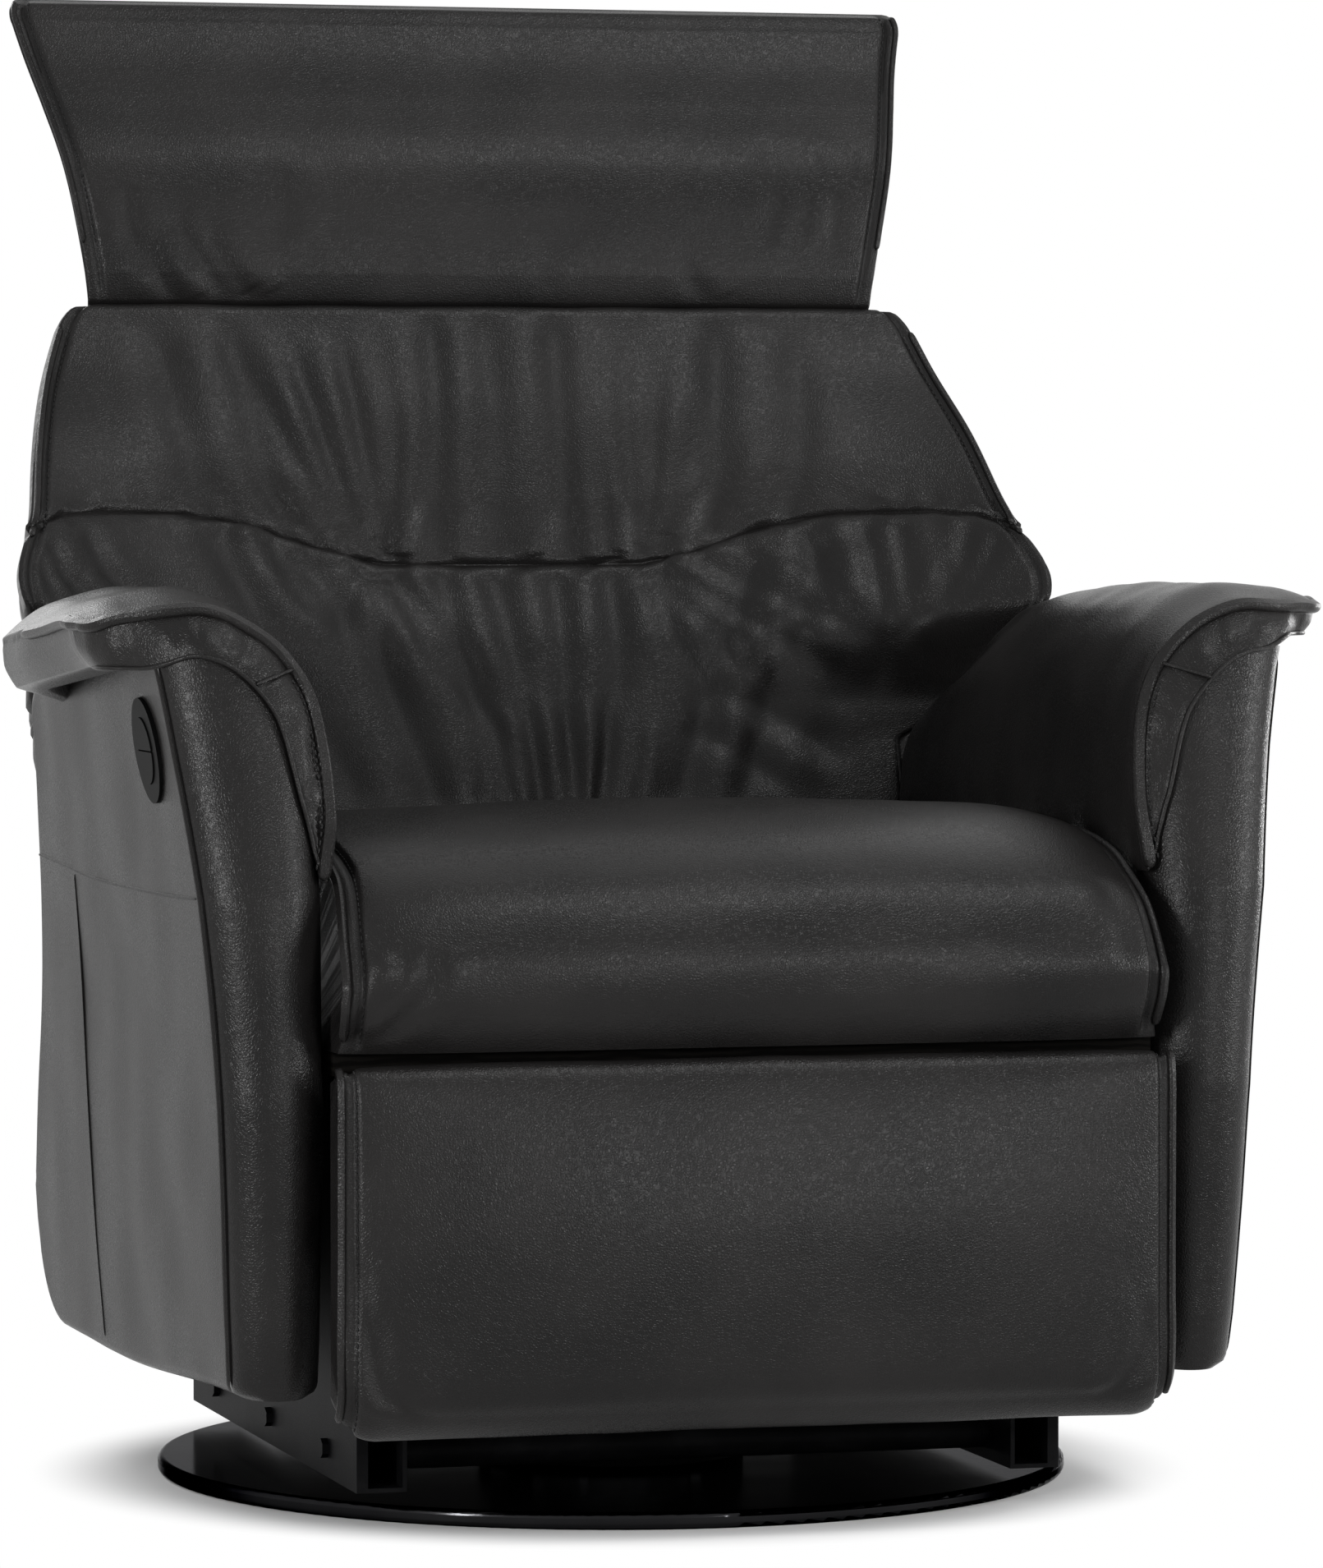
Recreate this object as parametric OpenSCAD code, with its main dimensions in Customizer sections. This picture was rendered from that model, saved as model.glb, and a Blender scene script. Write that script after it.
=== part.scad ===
// Power recliner armchair on a round swivel disc.
// Millimetres. +Z is up, the chair faces -Y, and the origin is on the floor on the swivel axis.

/* [Base] */
// Diameter of the round base disc
disc_d = 650; // [600:5:700]
// Thickness of the base disc
disc_t = 12; // [10:1:16]
// Rounding of the disc's rim
rim_r = 4; // [2:0.5:4.5]
// Diameter of a glide pad under the disc
glide_d = 32; // [20:1:44]
// Thickness of a glide pad
glide_t = 3; // [2:0.5:5]
// Number of glide pads
glide_n = 8; // [4:1:12]
// Inset of the glide pads from the disc's rim
glide_inset = 36; // [30:1:60]

/* [Swivel] */
// Diameter of the swivel post
post_d = 30; // [24:1:40]
// Diameter of the post's flange
flange_d = 190; // [170:5:220]
// Thickness of the post's flange
flange_t = 8; // [6:1:12]
// Thread diameter of the flange bolts
flange_bolt_d = 8; // [6:1:10]
// Number of flange bolts
flange_bolt_n = 6; // [4:1:8]
// Diameter of a bearing ball
ball_d = 12; // [8:1:14]
// Number of bearing balls
ball_n = 14; // [8:1:18]
// Diameter of the circle of balls
ball_ring_d = 86; // [80:1:96]
// Width of a bearing race, measured outwards
race_w = 26; // [20:1:30]
// Height of a bearing race
race_h = 10; // [9:1:14]
// Gap between the two races
race_gap = 4; // [3:0.5:6]
// Thickness of the post's washer
washer_t = 4; // [3:0.5:6]
// Height of the post's nut
nut_h = 14; // [10:1:18]

/* [Chassis] */
// Distance of a rail's middle from the swivel axis
rail_x = 230; // [224:1:236]
// Width of a rail
rail_w = 30; // [24:1:34]
// Height of a rail
rail_h = 40; // [34:1:46]
// Length of a rail
rail_len = 520; // [460:10:560]
// Wall of the rails and tubes
tube_wall = 3; // [2:0.5:4]
// Gap between the rails and the disc
rail_lift = 12; // [8:1:16]
// Outside diameter of the cross tubes and torque tubes
tube_d = 25; // [22:1:28]
// Distance of a cross tube from the swivel axis
cross_y = 200; // [180:5:220]
// Thickness of the swivel plate
plate_t = 6; // [4:1:8]
// Length of the swivel plate from front to rear
plate_len = 300; // [280:5:320]
// Thickness of the mechanism side plates
side_t = 5; // [4:0.5:6]
// Diameter of the bolts that hold the side plates and the arms
bolt_d = 8; // [6:1:10]

/* [Seat] */
// Height of the seat deck's top face
deck_h = 329; // [325:1:340]
// Thickness of the seat deck
deck_t = 15; // [12:1:18]
// Clear width between the arm bodies
seat_w = 574; // [566:2:590]
// Height of the seat crown above the floor
seat_crown_h = 485; // [470:1:500]
// Where the seat cushion's front roll reaches, forward of the swivel axis
seat_front = 392; // [384:1:400]
// Where the deck ends, behind the swivel axis
deck_rear = 160; // [150:1:165]
// Thickness of a wooden seat rail
seat_rail_t = 24; // [18:1:26]
// Height of a wooden seat rail
seat_rail_h = 58; // [45:1:70]

/* [Arms] */
// Height of the arm pad's crown
arm_h = 637; // [620:1:650]
// Reach of the arm pad's winged lip from the middle of the chair
lip_x = 440; // [430:1:448]
// Reach of the arm's outer face at its top
arm_top_x = 391; // [384:1:398]
// Reach of the arm's outer face at its foot
arm_foot_x = 338; // [334:1:350]
// Height of the arm's foot above the floor
arm_foot_h = 90; // [84:1:100]
// Where the arm's front roll reaches, forward of the swivel axis
arm_front = 336; // [326:1:340]
// Where the arm's foot ends, behind the swivel axis
arm_rear = 332; // [320:1:340]
// Where the arm pad ends, behind the swivel axis
arm_pad_rear = 210; // [200:1:216]
// Fall of the arm pad's crown from front to rear
arm_fall = 84; // [70:1:95]
// Thickness of the arm pad over the crown
arm_pad_t = 25; // [20:1:28]
// Thickness of the plywood arm panel
arm_panel_t = 18; // [15:1:21]

/* [Back] */
// Lean of the back from upright
back_lean = 19; // [17:0.5:21]
// Distance of the recline axis behind the swivel axis
recline_y = 205; // [202:1:208]
// Height of the recline axis above the deck's underside
recline_rise = 21; // [18:1:24]
// How far the back reclines
recline_range = 35; // [25:1:36]
// Length of the back from the recline axis to its top
back_len = 516; // [500:1:530]
// Half width of the back at its ears
ear_x = 371; // [360:1:380]
// Half width of the back at its top
back_top_x = 322; // [312:1:332]
// Half width of the back between the arms
back_low_x = 270; // [262:1:272]
// How far the ears wrap forward
ear_wrap = 93; // [80:1:98]
// Thickness of the back cushion at its middle
cushion_t = 46; // [40:1:48]
// Thickness of the whole back at its middle
back_t = 95; // [92:1:105]
// Wall of the back shell
shell_t = 9; // [6:0.5:10]
// Depth of the sewn yoke seam
seam_depth = 9; // [4:0.5:12]

/* [Headrest] */
// Height of the headrest above its hinge axis
head_len = 215; // [200:1:225]
// Half width of the headrest at its top
head_top_x = 354; // [344:1:360]
// Half width of the headrest at its bottom
head_low_x = 304; // [296:1:312]
// Radius of the headrest's bottom roll
head_roll = 43; // [40:1:45]
// Depth of the headrest's bulge in front of its hinge
head_bulge = 60; // [54:1:64]
// Thickness of the headrest's top edge
head_top_t = 34; // [28:1:38]
// Range of the headrest, forward
head_range = 35; // [20:1:36]

/* [Footrest] */
// Half width of the footrest
foot_x = 292; // [284:1:296]
// Height of the footrest panel
foot_len = 248; // [236:1:250]
// Gap between the footrest's top and the seat cushion
foot_gap = 5; // [4:0.5:8]
// Thickness of the footrest pad at its edge
foot_pad_t = 25; // [20:1:28]
// Bulge of the footrest pad
foot_bulge = 17; // [10:1:20]
// Thickness of the footrest board
foot_board_t = 12; // [9:1:15]
// Radius of the footrest's bottom corners
foot_corner = 42; // [30:1:50]
// Height of the folded links' knee pivot above the rails
knee_room = 34; // [29:1:44]
// Width of a footrest link
link_w = 24; // [20:1:26]
// Thickness of a footrest link
link_t = 5; // [4:0.5:6]
// Diameter of the link pins
pin_d = 12; // [10:1:14]
// Distance of the footrest's fixed pivot in front of the swivel axis
foot_pivot_y = 200; // [195:1:205]
// Slope of the folded links below the line of their travel
fold_slope = 80; // [78:0.5:81]
// How far the lower links swing
link_swing = 45; // [30:1:46]

/* [Drive] */
// Length of the recline lever
lever_len = 80; // [70:1:84]
// Width of the drive rail
drive_w = 30; // [24:1:36]
// Depth of the drive rail's middle below the seat deck's top face
drive_drop = 139; // [134:1:149]
// Length of the drive rail
drive_len = 300; // [280:2:304]
// Length of the carriage
carriage_len = 70; // [60:1:80]
// Wall of the carriage
carriage_wall = 10; // [8:1:12]
// Diameter of the pivot pins of the back and the footrest
pivot_d = 16; // [12:1:18]

/* [Switch] */
// Diameter of the switch bezel
bezel_d = 72; // [60:1:80]
// Diameter of the pair of half round buttons
button_d = 45; // [36:1:50]
// Depth of the bezel
bezel_t = 7; // [6:0.5:9]
// Travel of a button
button_travel = 2; // [1:0.25:2.5]
// Gap between the switch bezel and the arm pad's lip above it
switch_drop = 18; // [10:1:30]
// Distance of the switch in front of the swivel axis
switch_y = 228; // [215:1:240]

/* [Clearances] */
// Radial clearance of a pin that turns in its bore
run_gap = 0.05; // [0.02:0.01:0.09]
// Gap between pieces that move past each other
move_gap = 0.5; // [0.4:0.1:1]
// Gap between padded pieces that lie against each other
soft_gap = 0.5; // [0.3:0.1:1]
// Space between the flat plates of a linkage
plate_gap = 1; // [0.6:0.1:1.5]

/* [Hidden] */
$fn = 64;

leather = "#2b2b2d";
lacquer = "#0c0c0d";
steel = "#25262a";
bright = "#9a9da1";
plywood = "#b58f5f";
plastic = "#1c1c1e";
felt = "#4a4845";

// Heights of the stack above the floor
race_z = disc_t + flange_t;
upper_race_z = race_z + race_h + race_gap;
plate_z = upper_race_z + race_h;
plate_top = plate_z + plate_t;
rail_z = disc_t + rail_lift;
rail_top = rail_z + rail_h;
deck_z = deck_h - deck_t;
drive_h = deck_h - drive_drop;

// Linkage planes, measured outwards from the middle of the chair, with room for the pin heads
head_space = 6;
head_t = 2;
head_d = pin_d + 6;
side_x = rail_x + rail_w / 2;
lower_link_x = side_x - 2 * plate_gap - link_t - head_space;
upper_link_x = lower_link_x - plate_gap - link_t;
bracket_x = upper_link_x - plate_gap - link_t;

// Pivots of the footrest linkage as [y, z], folded
foot_pivot = [-foot_pivot_y, deck_z - link_w];
link_len = (foot_pivot[1] - rail_top - knee_room) / sin(fold_slope);
knee = foot_pivot - link_len * [cos(fold_slope), sin(fold_slope)];
toe = foot_pivot - [2 * link_len * cos(fold_slope), 0];

// Recline axis and the two slotted yokes that one carriage drives
recline = [recline_y, deck_z + recline_rise];
lever_pin = recline + lever_len * [sin(recline_range / 2), -cos(recline_range / 2)];
crank_len = lever_len * sin(recline_range / 2) / sin(link_swing / 2);
crank_pin = foot_pivot + crank_len * [sin(link_swing / 2), -cos(link_swing / 2)];
carriage_travel = 2 * lever_len * sin(recline_range / 2);
yoke_t = 8;
yoke_gap = 3;
lever_t = 5;

// Arm layout, with the fall of the pad's lip below its crown
lip_fall = 31;
switch_h = arm_h - lip_fall - arm_pad_t - switch_drop - bezel_d / 2;
arm_in = seat_w / 2;
panel_x = arm_in + 16;
panel_out = panel_x + arm_panel_t;
seat_rail_x = panel_x - seat_rail_t;
roll_depth = 36;
slant = 2.24;

// Footrest layout
foot_back = -arm_front - 14;
foot_top = deck_h - foot_gap;
foot_low = foot_top - foot_len;
pad_back = foot_back - foot_board_t - soft_gap;

// Headrest hinge in the back's own frame as [t, s], t to the rear and s up the back
head_hinge = [18, back_len + 3 + head_roll];
head_tilt = 7;
head_plate_t = 4;
post_t = 5;
post_x = 155;
post_w = 22;
frame_t = 32;
head_pin_d = 10;

// Smooth step from 0 to 1
function smooth(f) = let (c = min(max(f, 0), 1)) c * c * (3 - 2 * c);
function mix(a, b, f) = a + (b - a) * f;
// Quarter round: 0 at f = 0, rising to 1 at f = 1
function quarter(f) = let (c = min(max(f, 0), 1)) 1 - sqrt(max(0, 1 - c * c));
// Point on a smooth curve through the points p, with u from 0 to 1
function spline(p, u) =
    let (n = len(p) - 1, k = max(0, min(floor(u * n), n - 1)), f = u * n - k)
    let (a = p[max(k - 1, 0)], b = p[k], c = p[k + 1], d = p[min(k + 2, n)])
    0.5 * (2 * b + (c - a) * f + (2 * a - 5 * b + 4 * c - d) * f * f
        + (3 * b - 3 * c + d - a) * f * f * f);
// Even steps from 0 to 1
function steps(n) = [for (i = [0:n]) i / n];
// Even steps from -1 to 1, closer together near the ends
function span(n) = [for (i = [0:n]) let (f = 2 * i / n - 1) sin(90 * f) * 0.55 + f * 0.45];

// Closed skin over rings of equal length, each one path out and another path back
module skin(rings) {
    n = len(rings[0]);
    m = len(rings);
    last = (m - 1) * n;
    half = n / 2;
    walls = [for (i = [0:m - 2], j = [0:n - 1], k = [0, 1])
        let (a = i * n + j, b = i * n + (j + 1) % n)
        k == 0 ? [a, b, a + n] : [b, b + n, a + n]];
    near = [for (j = [0:half - 2], k = [0, 1])
        k == 0 ? [j, n - 1 - j, j + 1] : [j + 1, n - 1 - j, n - 2 - j]];
    far = [for (f = near) [last + f[0], last + f[2], last + f[1]]];
    polyhedron(points = [for (r = rings) each r], faces = concat(walls, near, far), convexity = 6);
}

// Ring made of a path out and a path back
function ring(path, back) = concat(path, [for (i = [len(back) - 1:-1:0]) back[i]]);

// Copies of the children on both sides of the chair
module both() {
    children();
    mirror([1, 0, 0]) children();
}

// Places children that are drawn in y and z with their thickness along x
module across(x, t) {
    translate([x, 0, 0]) rotate([90, 0, 90]) linear_extrude(t) children();
}

// Round bar along x
module bar(x0, x1, at, d) {
    translate([x0, at[0], at[1]]) rotate([0, 90, 0]) cylinder(d = d, h = x1 - x0);
}

// Flat link outline between two pivots, as wide as w
module link_outline(a, b, w) {
    v = b - a;
    translate(a) rotate(atan2(v[1], v[0])) {
        translate([0, -w / 2]) square([norm(v), w]);
        circle(d = w);
        translate([norm(v), 0]) circle(d = w);
    }
}

// Puts children in the back's own frame
module back_frame() {
    translate([0, recline[0], recline[1]]) rotate([-back_lean, 0, 0]) children();
}

// Puts children in the headrest's own frame
module head_frame() {
    back_frame() translate([0, head_hinge[0], head_hinge[1]]) rotate([head_tilt, 0, 0]) children();
}

// Round base disc with a rounded rim and pockets for the glides
module base_disc() {
    color(lacquer) difference() {
        rotate_extrude($fn = 128) union() {
            square([disc_d / 2 - rim_r, disc_t]);
            translate([0, rim_r]) square([disc_d / 2, disc_t - 2 * rim_r]);
            for (z = [rim_r, disc_t - rim_r])
                translate([disc_d / 2 - rim_r, z]) circle(rim_r);
        }
        for (i = [0:glide_n - 1])
            rotate(360 * i / glide_n) translate([disc_d / 2 - glide_inset, 0, -1])
                cylinder(d = glide_d, h = glide_t + 1);
        flange_bolt_ring() translate([0, 0, disc_t - flange_t]) cylinder(d = flange_bolt_d, h = 2 * flange_t);
    }
}

module glide_pads() {
    color(felt) for (i = [0:glide_n - 1])
        rotate(360 * i / glide_n) translate([disc_d / 2 - glide_inset, 0, 0])
            cylinder(d = glide_d, h = glide_t);
}

module flange_bolt_ring() {
    for (i = [0:flange_bolt_n - 1])
        rotate(360 * i / flange_bolt_n) translate([flange_d / 2 - 1.6 * flange_bolt_d, 0, 0]) children();
}

// Flange and post in one turned piece
module swivel_post() {
    color(steel) difference() {
        translate([0, 0, disc_t]) union() {
            cylinder(d = flange_d, h = flange_t);
            cylinder(d = post_d, h = plate_top + washer_t + nut_h + 2 - disc_t);
        }
        flange_bolt_ring() translate([0, 0, disc_t - 1]) cylinder(d = flange_bolt_d, h = flange_t + 2);
    }
}

module flange_bolts() {
    color(bright) flange_bolt_ring() {
        translate([0, 0, disc_t - flange_t]) cylinder(d = flange_bolt_d, h = 2 * flange_t);
        translate([0, 0, race_z]) cylinder(d = 1.7 * flange_bolt_d, h = 0.6 * flange_bolt_d, $fn = 6);
    }
}

// Bearing race with a groove for the balls in one face
module race(z, ball_z) {
    color(bright) difference() {
        translate([0, 0, z]) rotate_extrude()
            translate([(ball_ring_d - race_w) / 2, 0]) square([race_w, race_h]);
        rotate_extrude() translate([ball_ring_d / 2, ball_z]) circle(d = ball_d + 2 * move_gap);
    }
}

ball_z = race_z + race_h + race_gap / 2;

module lower_race() {
    race(race_z, ball_z);
}

module upper_race() {
    race(upper_race_z, ball_z);
}

module bearing_balls() {
    color("silver") for (i = [0:ball_n - 1])
        rotate(360 * i / ball_n) translate([ball_ring_d / 2, 0, ball_z]) sphere(d = ball_d);
}

module post_washer() {
    color(bright) difference() {
        translate([0, 0, plate_top + move_gap]) cylinder(d = 2 * post_d, h = washer_t - move_gap);
        cylinder(d = post_d, h = 2 * deck_h);
    }
}

module post_nut() {
    color(bright) difference() {
        translate([0, 0, plate_top + washer_t]) cylinder(d = 1.7 * post_d, h = nut_h, $fn = 6);
        cylinder(d = post_d, h = 2 * deck_h);
    }
}

// Plate that turns on the bearing and joins the rails
module swivel_plate() {
    color(steel) difference() {
        translate([rail_w / 2 - rail_x, -plate_len / 2, plate_z])
            cube([2 * rail_x - rail_w, plate_len, plate_t]);
        cylinder(d = post_d + 2 * run_gap, h = 2 * deck_h);
    }
}

// Hollow rectangular rail beside the swivel plate
module right_rail() {
    color(steel) difference() {
        translate([rail_x - rail_w / 2, -rail_len / 2, rail_z]) cube([rail_w, rail_len, rail_h]);
        translate([rail_x - rail_w / 2 + tube_wall, -rail_len, rail_z + tube_wall])
            cube([rail_w - 2 * tube_wall, 2 * rail_len, rail_h - 2 * tube_wall]);
        side_bolt_places() rotate([0, 90, 0]) cylinder(d = bolt_d, h = 4 * rail_w, center = true);
    }
}

module left_rail() {
    mirror([1, 0, 0]) right_rail();
}

module cross_tube(y) {
    color(steel) difference() {
        bar(rail_w / 2 - rail_x, rail_x - rail_w / 2, [y, rail_z + rail_h / 2], tube_d);
        bar(-rail_x, rail_x, [y, rail_z + rail_h / 2], tube_d - 2 * tube_wall);
    }
}

module front_cross_tube() {
    cross_tube(-cross_y);
}

module rear_cross_tube() {
    cross_tube(cross_y);
}

// Two plates that carry the drive rail
bracket_t = 6;
module rail_brackets() {
    color(steel) for (y = [-1, 1])
        translate([-drive_w, y * (plate_len / 2 - bracket_t) - bracket_t / 2, plate_top])
            cube([2 * drive_w, bracket_t, drive_h - drive_w / 2 - plate_top]);
}

module side_bolt_places() {
    for (y = [-1, 0, 1])
        translate([side_x, y * rail_len / 3, rail_z + rail_h / 2]) children();
}

// Side plate of the mechanism, with the bores of the footrest and the back and a flange under the deck
module right_side_plate() {
    flange = deck_z - side_t;
    ear = recline[1] + link_w;
    color(steel) difference() {
        union() {
            across(side_x, side_t) polygon([[-rail_len / 2, rail_z], [rail_len / 2, rail_z],
                [rail_len / 2, rail_top], [recline[0] + link_w, recline[1]],
                [recline[0] + link_w / 2, ear], [recline[0] - link_w / 2, ear],
                [deck_rear + 10, deck_z], [foot_pivot[0] - link_w, deck_z],
                [foot_pivot[0] - link_w, foot_pivot[1] - link_w], [-rail_len / 2, rail_top]]);
            translate([side_x, foot_pivot[0] - link_w, flange])
                cube([seat_rail_x - side_x, deck_rear + foot_pivot_y + link_w, side_t]);
        }
        for (p = [foot_pivot, recline])
            bar(side_x - 1, side_x + side_t + 1, p, pivot_d + 2 * run_gap);
        side_bolt_places() rotate([0, 90, 0]) cylinder(d = bolt_d, h = 4 * side_t, center = true);
    }
}

module left_side_plate() {
    mirror([1, 0, 0]) right_side_plate();
}

module side_plate_bolts() {
    color(bright) both() side_bolt_places() rotate([0, 90, 0]) {
        translate([0, 0, -rail_w + tube_wall]) cylinder(d = bolt_d, h = rail_w - tube_wall + side_t);
        translate([0, 0, side_t]) cylinder(d = 1.7 * bolt_d, h = 0.6 * bolt_d, $fn = 6);
    }
}

// Deck between the arm panels, with a narrower nose between the arms' front rolls
deck_front = foot_back + 5;
rail_front = roll_depth - arm_front + 2;
module seat_deck() {
    nose_x = arm_in - 2 * soft_gap;
    color(plywood) translate([0, 0, deck_z]) linear_extrude(deck_t) {
        translate([-panel_x, rail_front]) square([2 * panel_x, deck_rear - rail_front]);
        translate([-nose_x, deck_front]) square([2 * nose_x, deck_rear - deck_front]);
    }
}

arm_bolt_ys = [-220, -40, 120];
module arm_bolt_places() {
    for (y = arm_bolt_ys)
        translate([seat_rail_x, y, deck_z - seat_rail_h / 2]) children();
}

// Wooden rail under the deck that the arm is bolted to
module right_seat_rail() {
    color(plywood) difference() {
        translate([seat_rail_x, rail_front, deck_z - seat_rail_h])
            cube([seat_rail_t, deck_rear - rail_front, seat_rail_h]);
        arm_bolt_places() rotate([0, 90, 0]) cylinder(d = bolt_d, h = 3 * seat_rail_t, center = true);
    }
}

module left_seat_rail() {
    mirror([1, 0, 0]) right_seat_rail();
}

module arm_bolts() {
    color(bright) both() arm_bolt_places() rotate([0, 90, 0]) {
        cylinder(d = bolt_d, h = seat_rail_t + arm_panel_t - 3);
        translate([0, 0, -0.6 * bolt_d]) cylinder(d = 1.7 * bolt_d, h = 0.6 * bolt_d, $fn = 6);
    }
}

// Height of the arm pad's crown at y
function arm_crown(y) = arm_h - arm_fall * pow(max(0, (y + 250) / (arm_pad_rear + 250)), 2.6);
// Height of the arm's slanted rear edge at y
function arm_slant(y) = arm_crown(arm_pad_rear - 34) - 30 - slant * (y - arm_pad_rear + 34);
// Reach of the arm's outer face at height z
function arm_out(z) =
    let (q = (z - arm_foot_h) / 500, g = arm_top_x - arm_foot_x)
    arm_foot_x + g * (0.68 * q + 0.32 * q * q * q * q);

// Over-arm pad: its outer surface at y as [x, z], from the lip across the crown and down the inside
pad_tip_h = 441;
function pad_control(y) =
    let (c = arm_crown(y), k = (c - pad_tip_h) / (arm_h - pad_tip_h))
    let (reach = mix(lip_x, arm_top_x + 8, smooth((y + 20) / (arm_pad_rear + 20))))
    [[reach, c - lip_fall], [mix(reach, arm_in, 0.28), c - 8], [mix(reach, arm_in, 0.6), c],
        [arm_in + 9, c - 28 * k], [arm_in - 9, c - 80 * k], [arm_in - 6, mix(c, pad_tip_h, 0.72)],
        [arm_in - 1.5, pad_tip_h]];
function pad_point(y, u) = spline(pad_control(y), u);
function pad_normal(y, u) =
    let (d = pad_point(y, min(u + 0.02, 1)) - pad_point(y, max(u - 0.02, 0)))
    [d[1], -d[0]] / norm(d);
function pad_thick(u) =
    mix(arm_pad_t * 0.72, arm_pad_t, smooth(u / 0.3)) * (1 - 0.96 * smooth((u - 0.5) / 0.5));
function pad_inside(y, u) = pad_point(y, u) - pad_thick(u) * pad_normal(y, u);

pad_ys = [-arm_front + 18, -arm_front + 24, -255, -170, -90, 0, 70, 120, 160, 190, arm_pad_rear];
pad_us = steps(15);

module right_arm_pad() {
    color(leather) skin([for (y = pad_ys)
        let (lean = y < -300 ? 14 : 0)
        ring([for (u = pad_us) let (p = pad_point(y, u)) [p[0], y - lean * smooth(u - 0.4), p[1]]],
            [for (u = pad_us) let (p = pad_inside(y, u)) [p[0], y - lean * smooth(u - 0.4), p[1]]])]);
}

module left_arm_pad() {
    mirror([1, 0, 0]) right_arm_pad();
}

// Plywood panel inside the arm
module right_arm_panel() {
    top = pad_tip_h + 110;
    color(plywood) difference() {
        across(panel_x, arm_panel_t) polygon([[-arm_front + roll_depth + 2, arm_foot_h + 12],
            [arm_rear - 90, arm_foot_h + 12], [arm_rear - 14, arm_foot_h + 90],
            [arm_pad_rear - 24, arm_slant(arm_pad_rear - 10)],
            [arm_pad_rear - 60, arm_crown(arm_pad_rear) - 90],
            [-arm_front + roll_depth + 2, top]]);
        arm_bolt_places() rotate([0, 90, 0]) cylinder(d = bolt_d, h = 6 * seat_rail_t, center = true);
    }
}

module left_arm_panel() {
    mirror([1, 0, 0]) right_arm_panel();
}

// Upholstered arm body: rings from the front roll to the rear, each one the outer face and the inner face
body_ys = [-arm_front, -arm_front + 3, -arm_front + 10, -arm_front + 22, -arm_front + roll_depth - 1,
    -arm_front + roll_depth + 1, -220, -100, 0, 90, 150, arm_pad_rear - 34, 220, 260, 300,
    arm_rear - 8, arm_rear];
body_n = 14;
function body_low(y) = arm_foot_h + 90 * quarter((y - arm_rear + 90) / 90);
// Underside of the arm pad at y and x, lowered by the padding's gap and kept below the slanted rear edge
edge_crown = 4;
function pad_under(y, x) = lookup(x, [for (u = [0.6:-0.05:0]) pad_inside(y, u)]);
function body_roof(y, x) =
    let (fall = edge_crown * abs(x - panel_out - 30) / 30)
    let (cut = y > arm_pad_rear - 34 ? arm_slant(y) - fall : arm_h)
    max(min(pad_under(y, x) - 3 * soft_gap, cut), body_low(y) + 4);
// Inner face of the front roll at height z, just outside the arm pad's inner leg
function roll_inner(y, z) =
    2 * soft_gap + lookup(z, [for (u = [1:-0.05:0.5]) let (p = pad_inside(y, u)) [p[1], p[0]]]);
function body_ring(y) =
    let (d = y + arm_front, front = d < roll_depth, py = max(y, pad_ys[0]))
    let (round_in = 0.5 * quarter(1 - d / roll_depth), round_out = 0.3 * quarter(1 - d / 12))
    let (inner = function (z) front ? max(arm_in, roll_inner(py, z)) : panel_out + soft_gap)
    let (low = body_low(y), in_x = front ? pad_inside(py, 0.5)[0] : panel_out + soft_gap)
    let (out_z = body_roof(py, arm_top_x), in_z = body_roof(py, in_x) - 4)
    let (edge = [for (f = steps(body_n)) let (z = mix(low, out_z, f), x = arm_out(z))
        [mix(x, inner(z), round_out), y, z]])
    let (face = [for (f = steps(body_n)) let (z = mix(low, in_z, f), x = inner(z))
        [mix(x, arm_out(z), round_in), y, z]])
    let (left = edge[body_n][0], right = face[body_n][0])
    ring(concat(edge, [for (f = [0.2, 0.4]) let (x = mix(left, right, f)) [x, y, body_roof(py, x)]]),
        concat(face, [for (f = [0.2, 0.4]) let (x = mix(right, left, f)) [x, y, body_roof(py, x)]]));

module right_arm_body() {
    color(leather) skin([for (y = body_ys) body_ring(y)]);
}

module left_arm_body() {
    mirror([1, 0, 0]) right_arm_body();
}

// Upholstered panel that closes the body at the rear, between the arm panels
rear_panel_t = 22;
rear_panel_h = 300;
rear_low_y = arm_rear - 20;
rear_low_z = arm_foot_h + 4;
module rear_panel() {
    low = rear_low_y;
    high = low - (rear_panel_h - arm_foot_h) / slant * 0.55;
    color(leather) across(-panel_x, 2 * panel_x) polygon([[low - 6, rear_low_z], [low, rear_low_z + 8],
        [high, rear_panel_h - 8], [high - 6, rear_panel_h], [high - rear_panel_t + 6, rear_panel_h],
        [high - rear_panel_t, rear_panel_h - 8], [low - rear_panel_t, rear_low_z + 8],
        [low - rear_panel_t + 6, rear_low_z]]);
}

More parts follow.
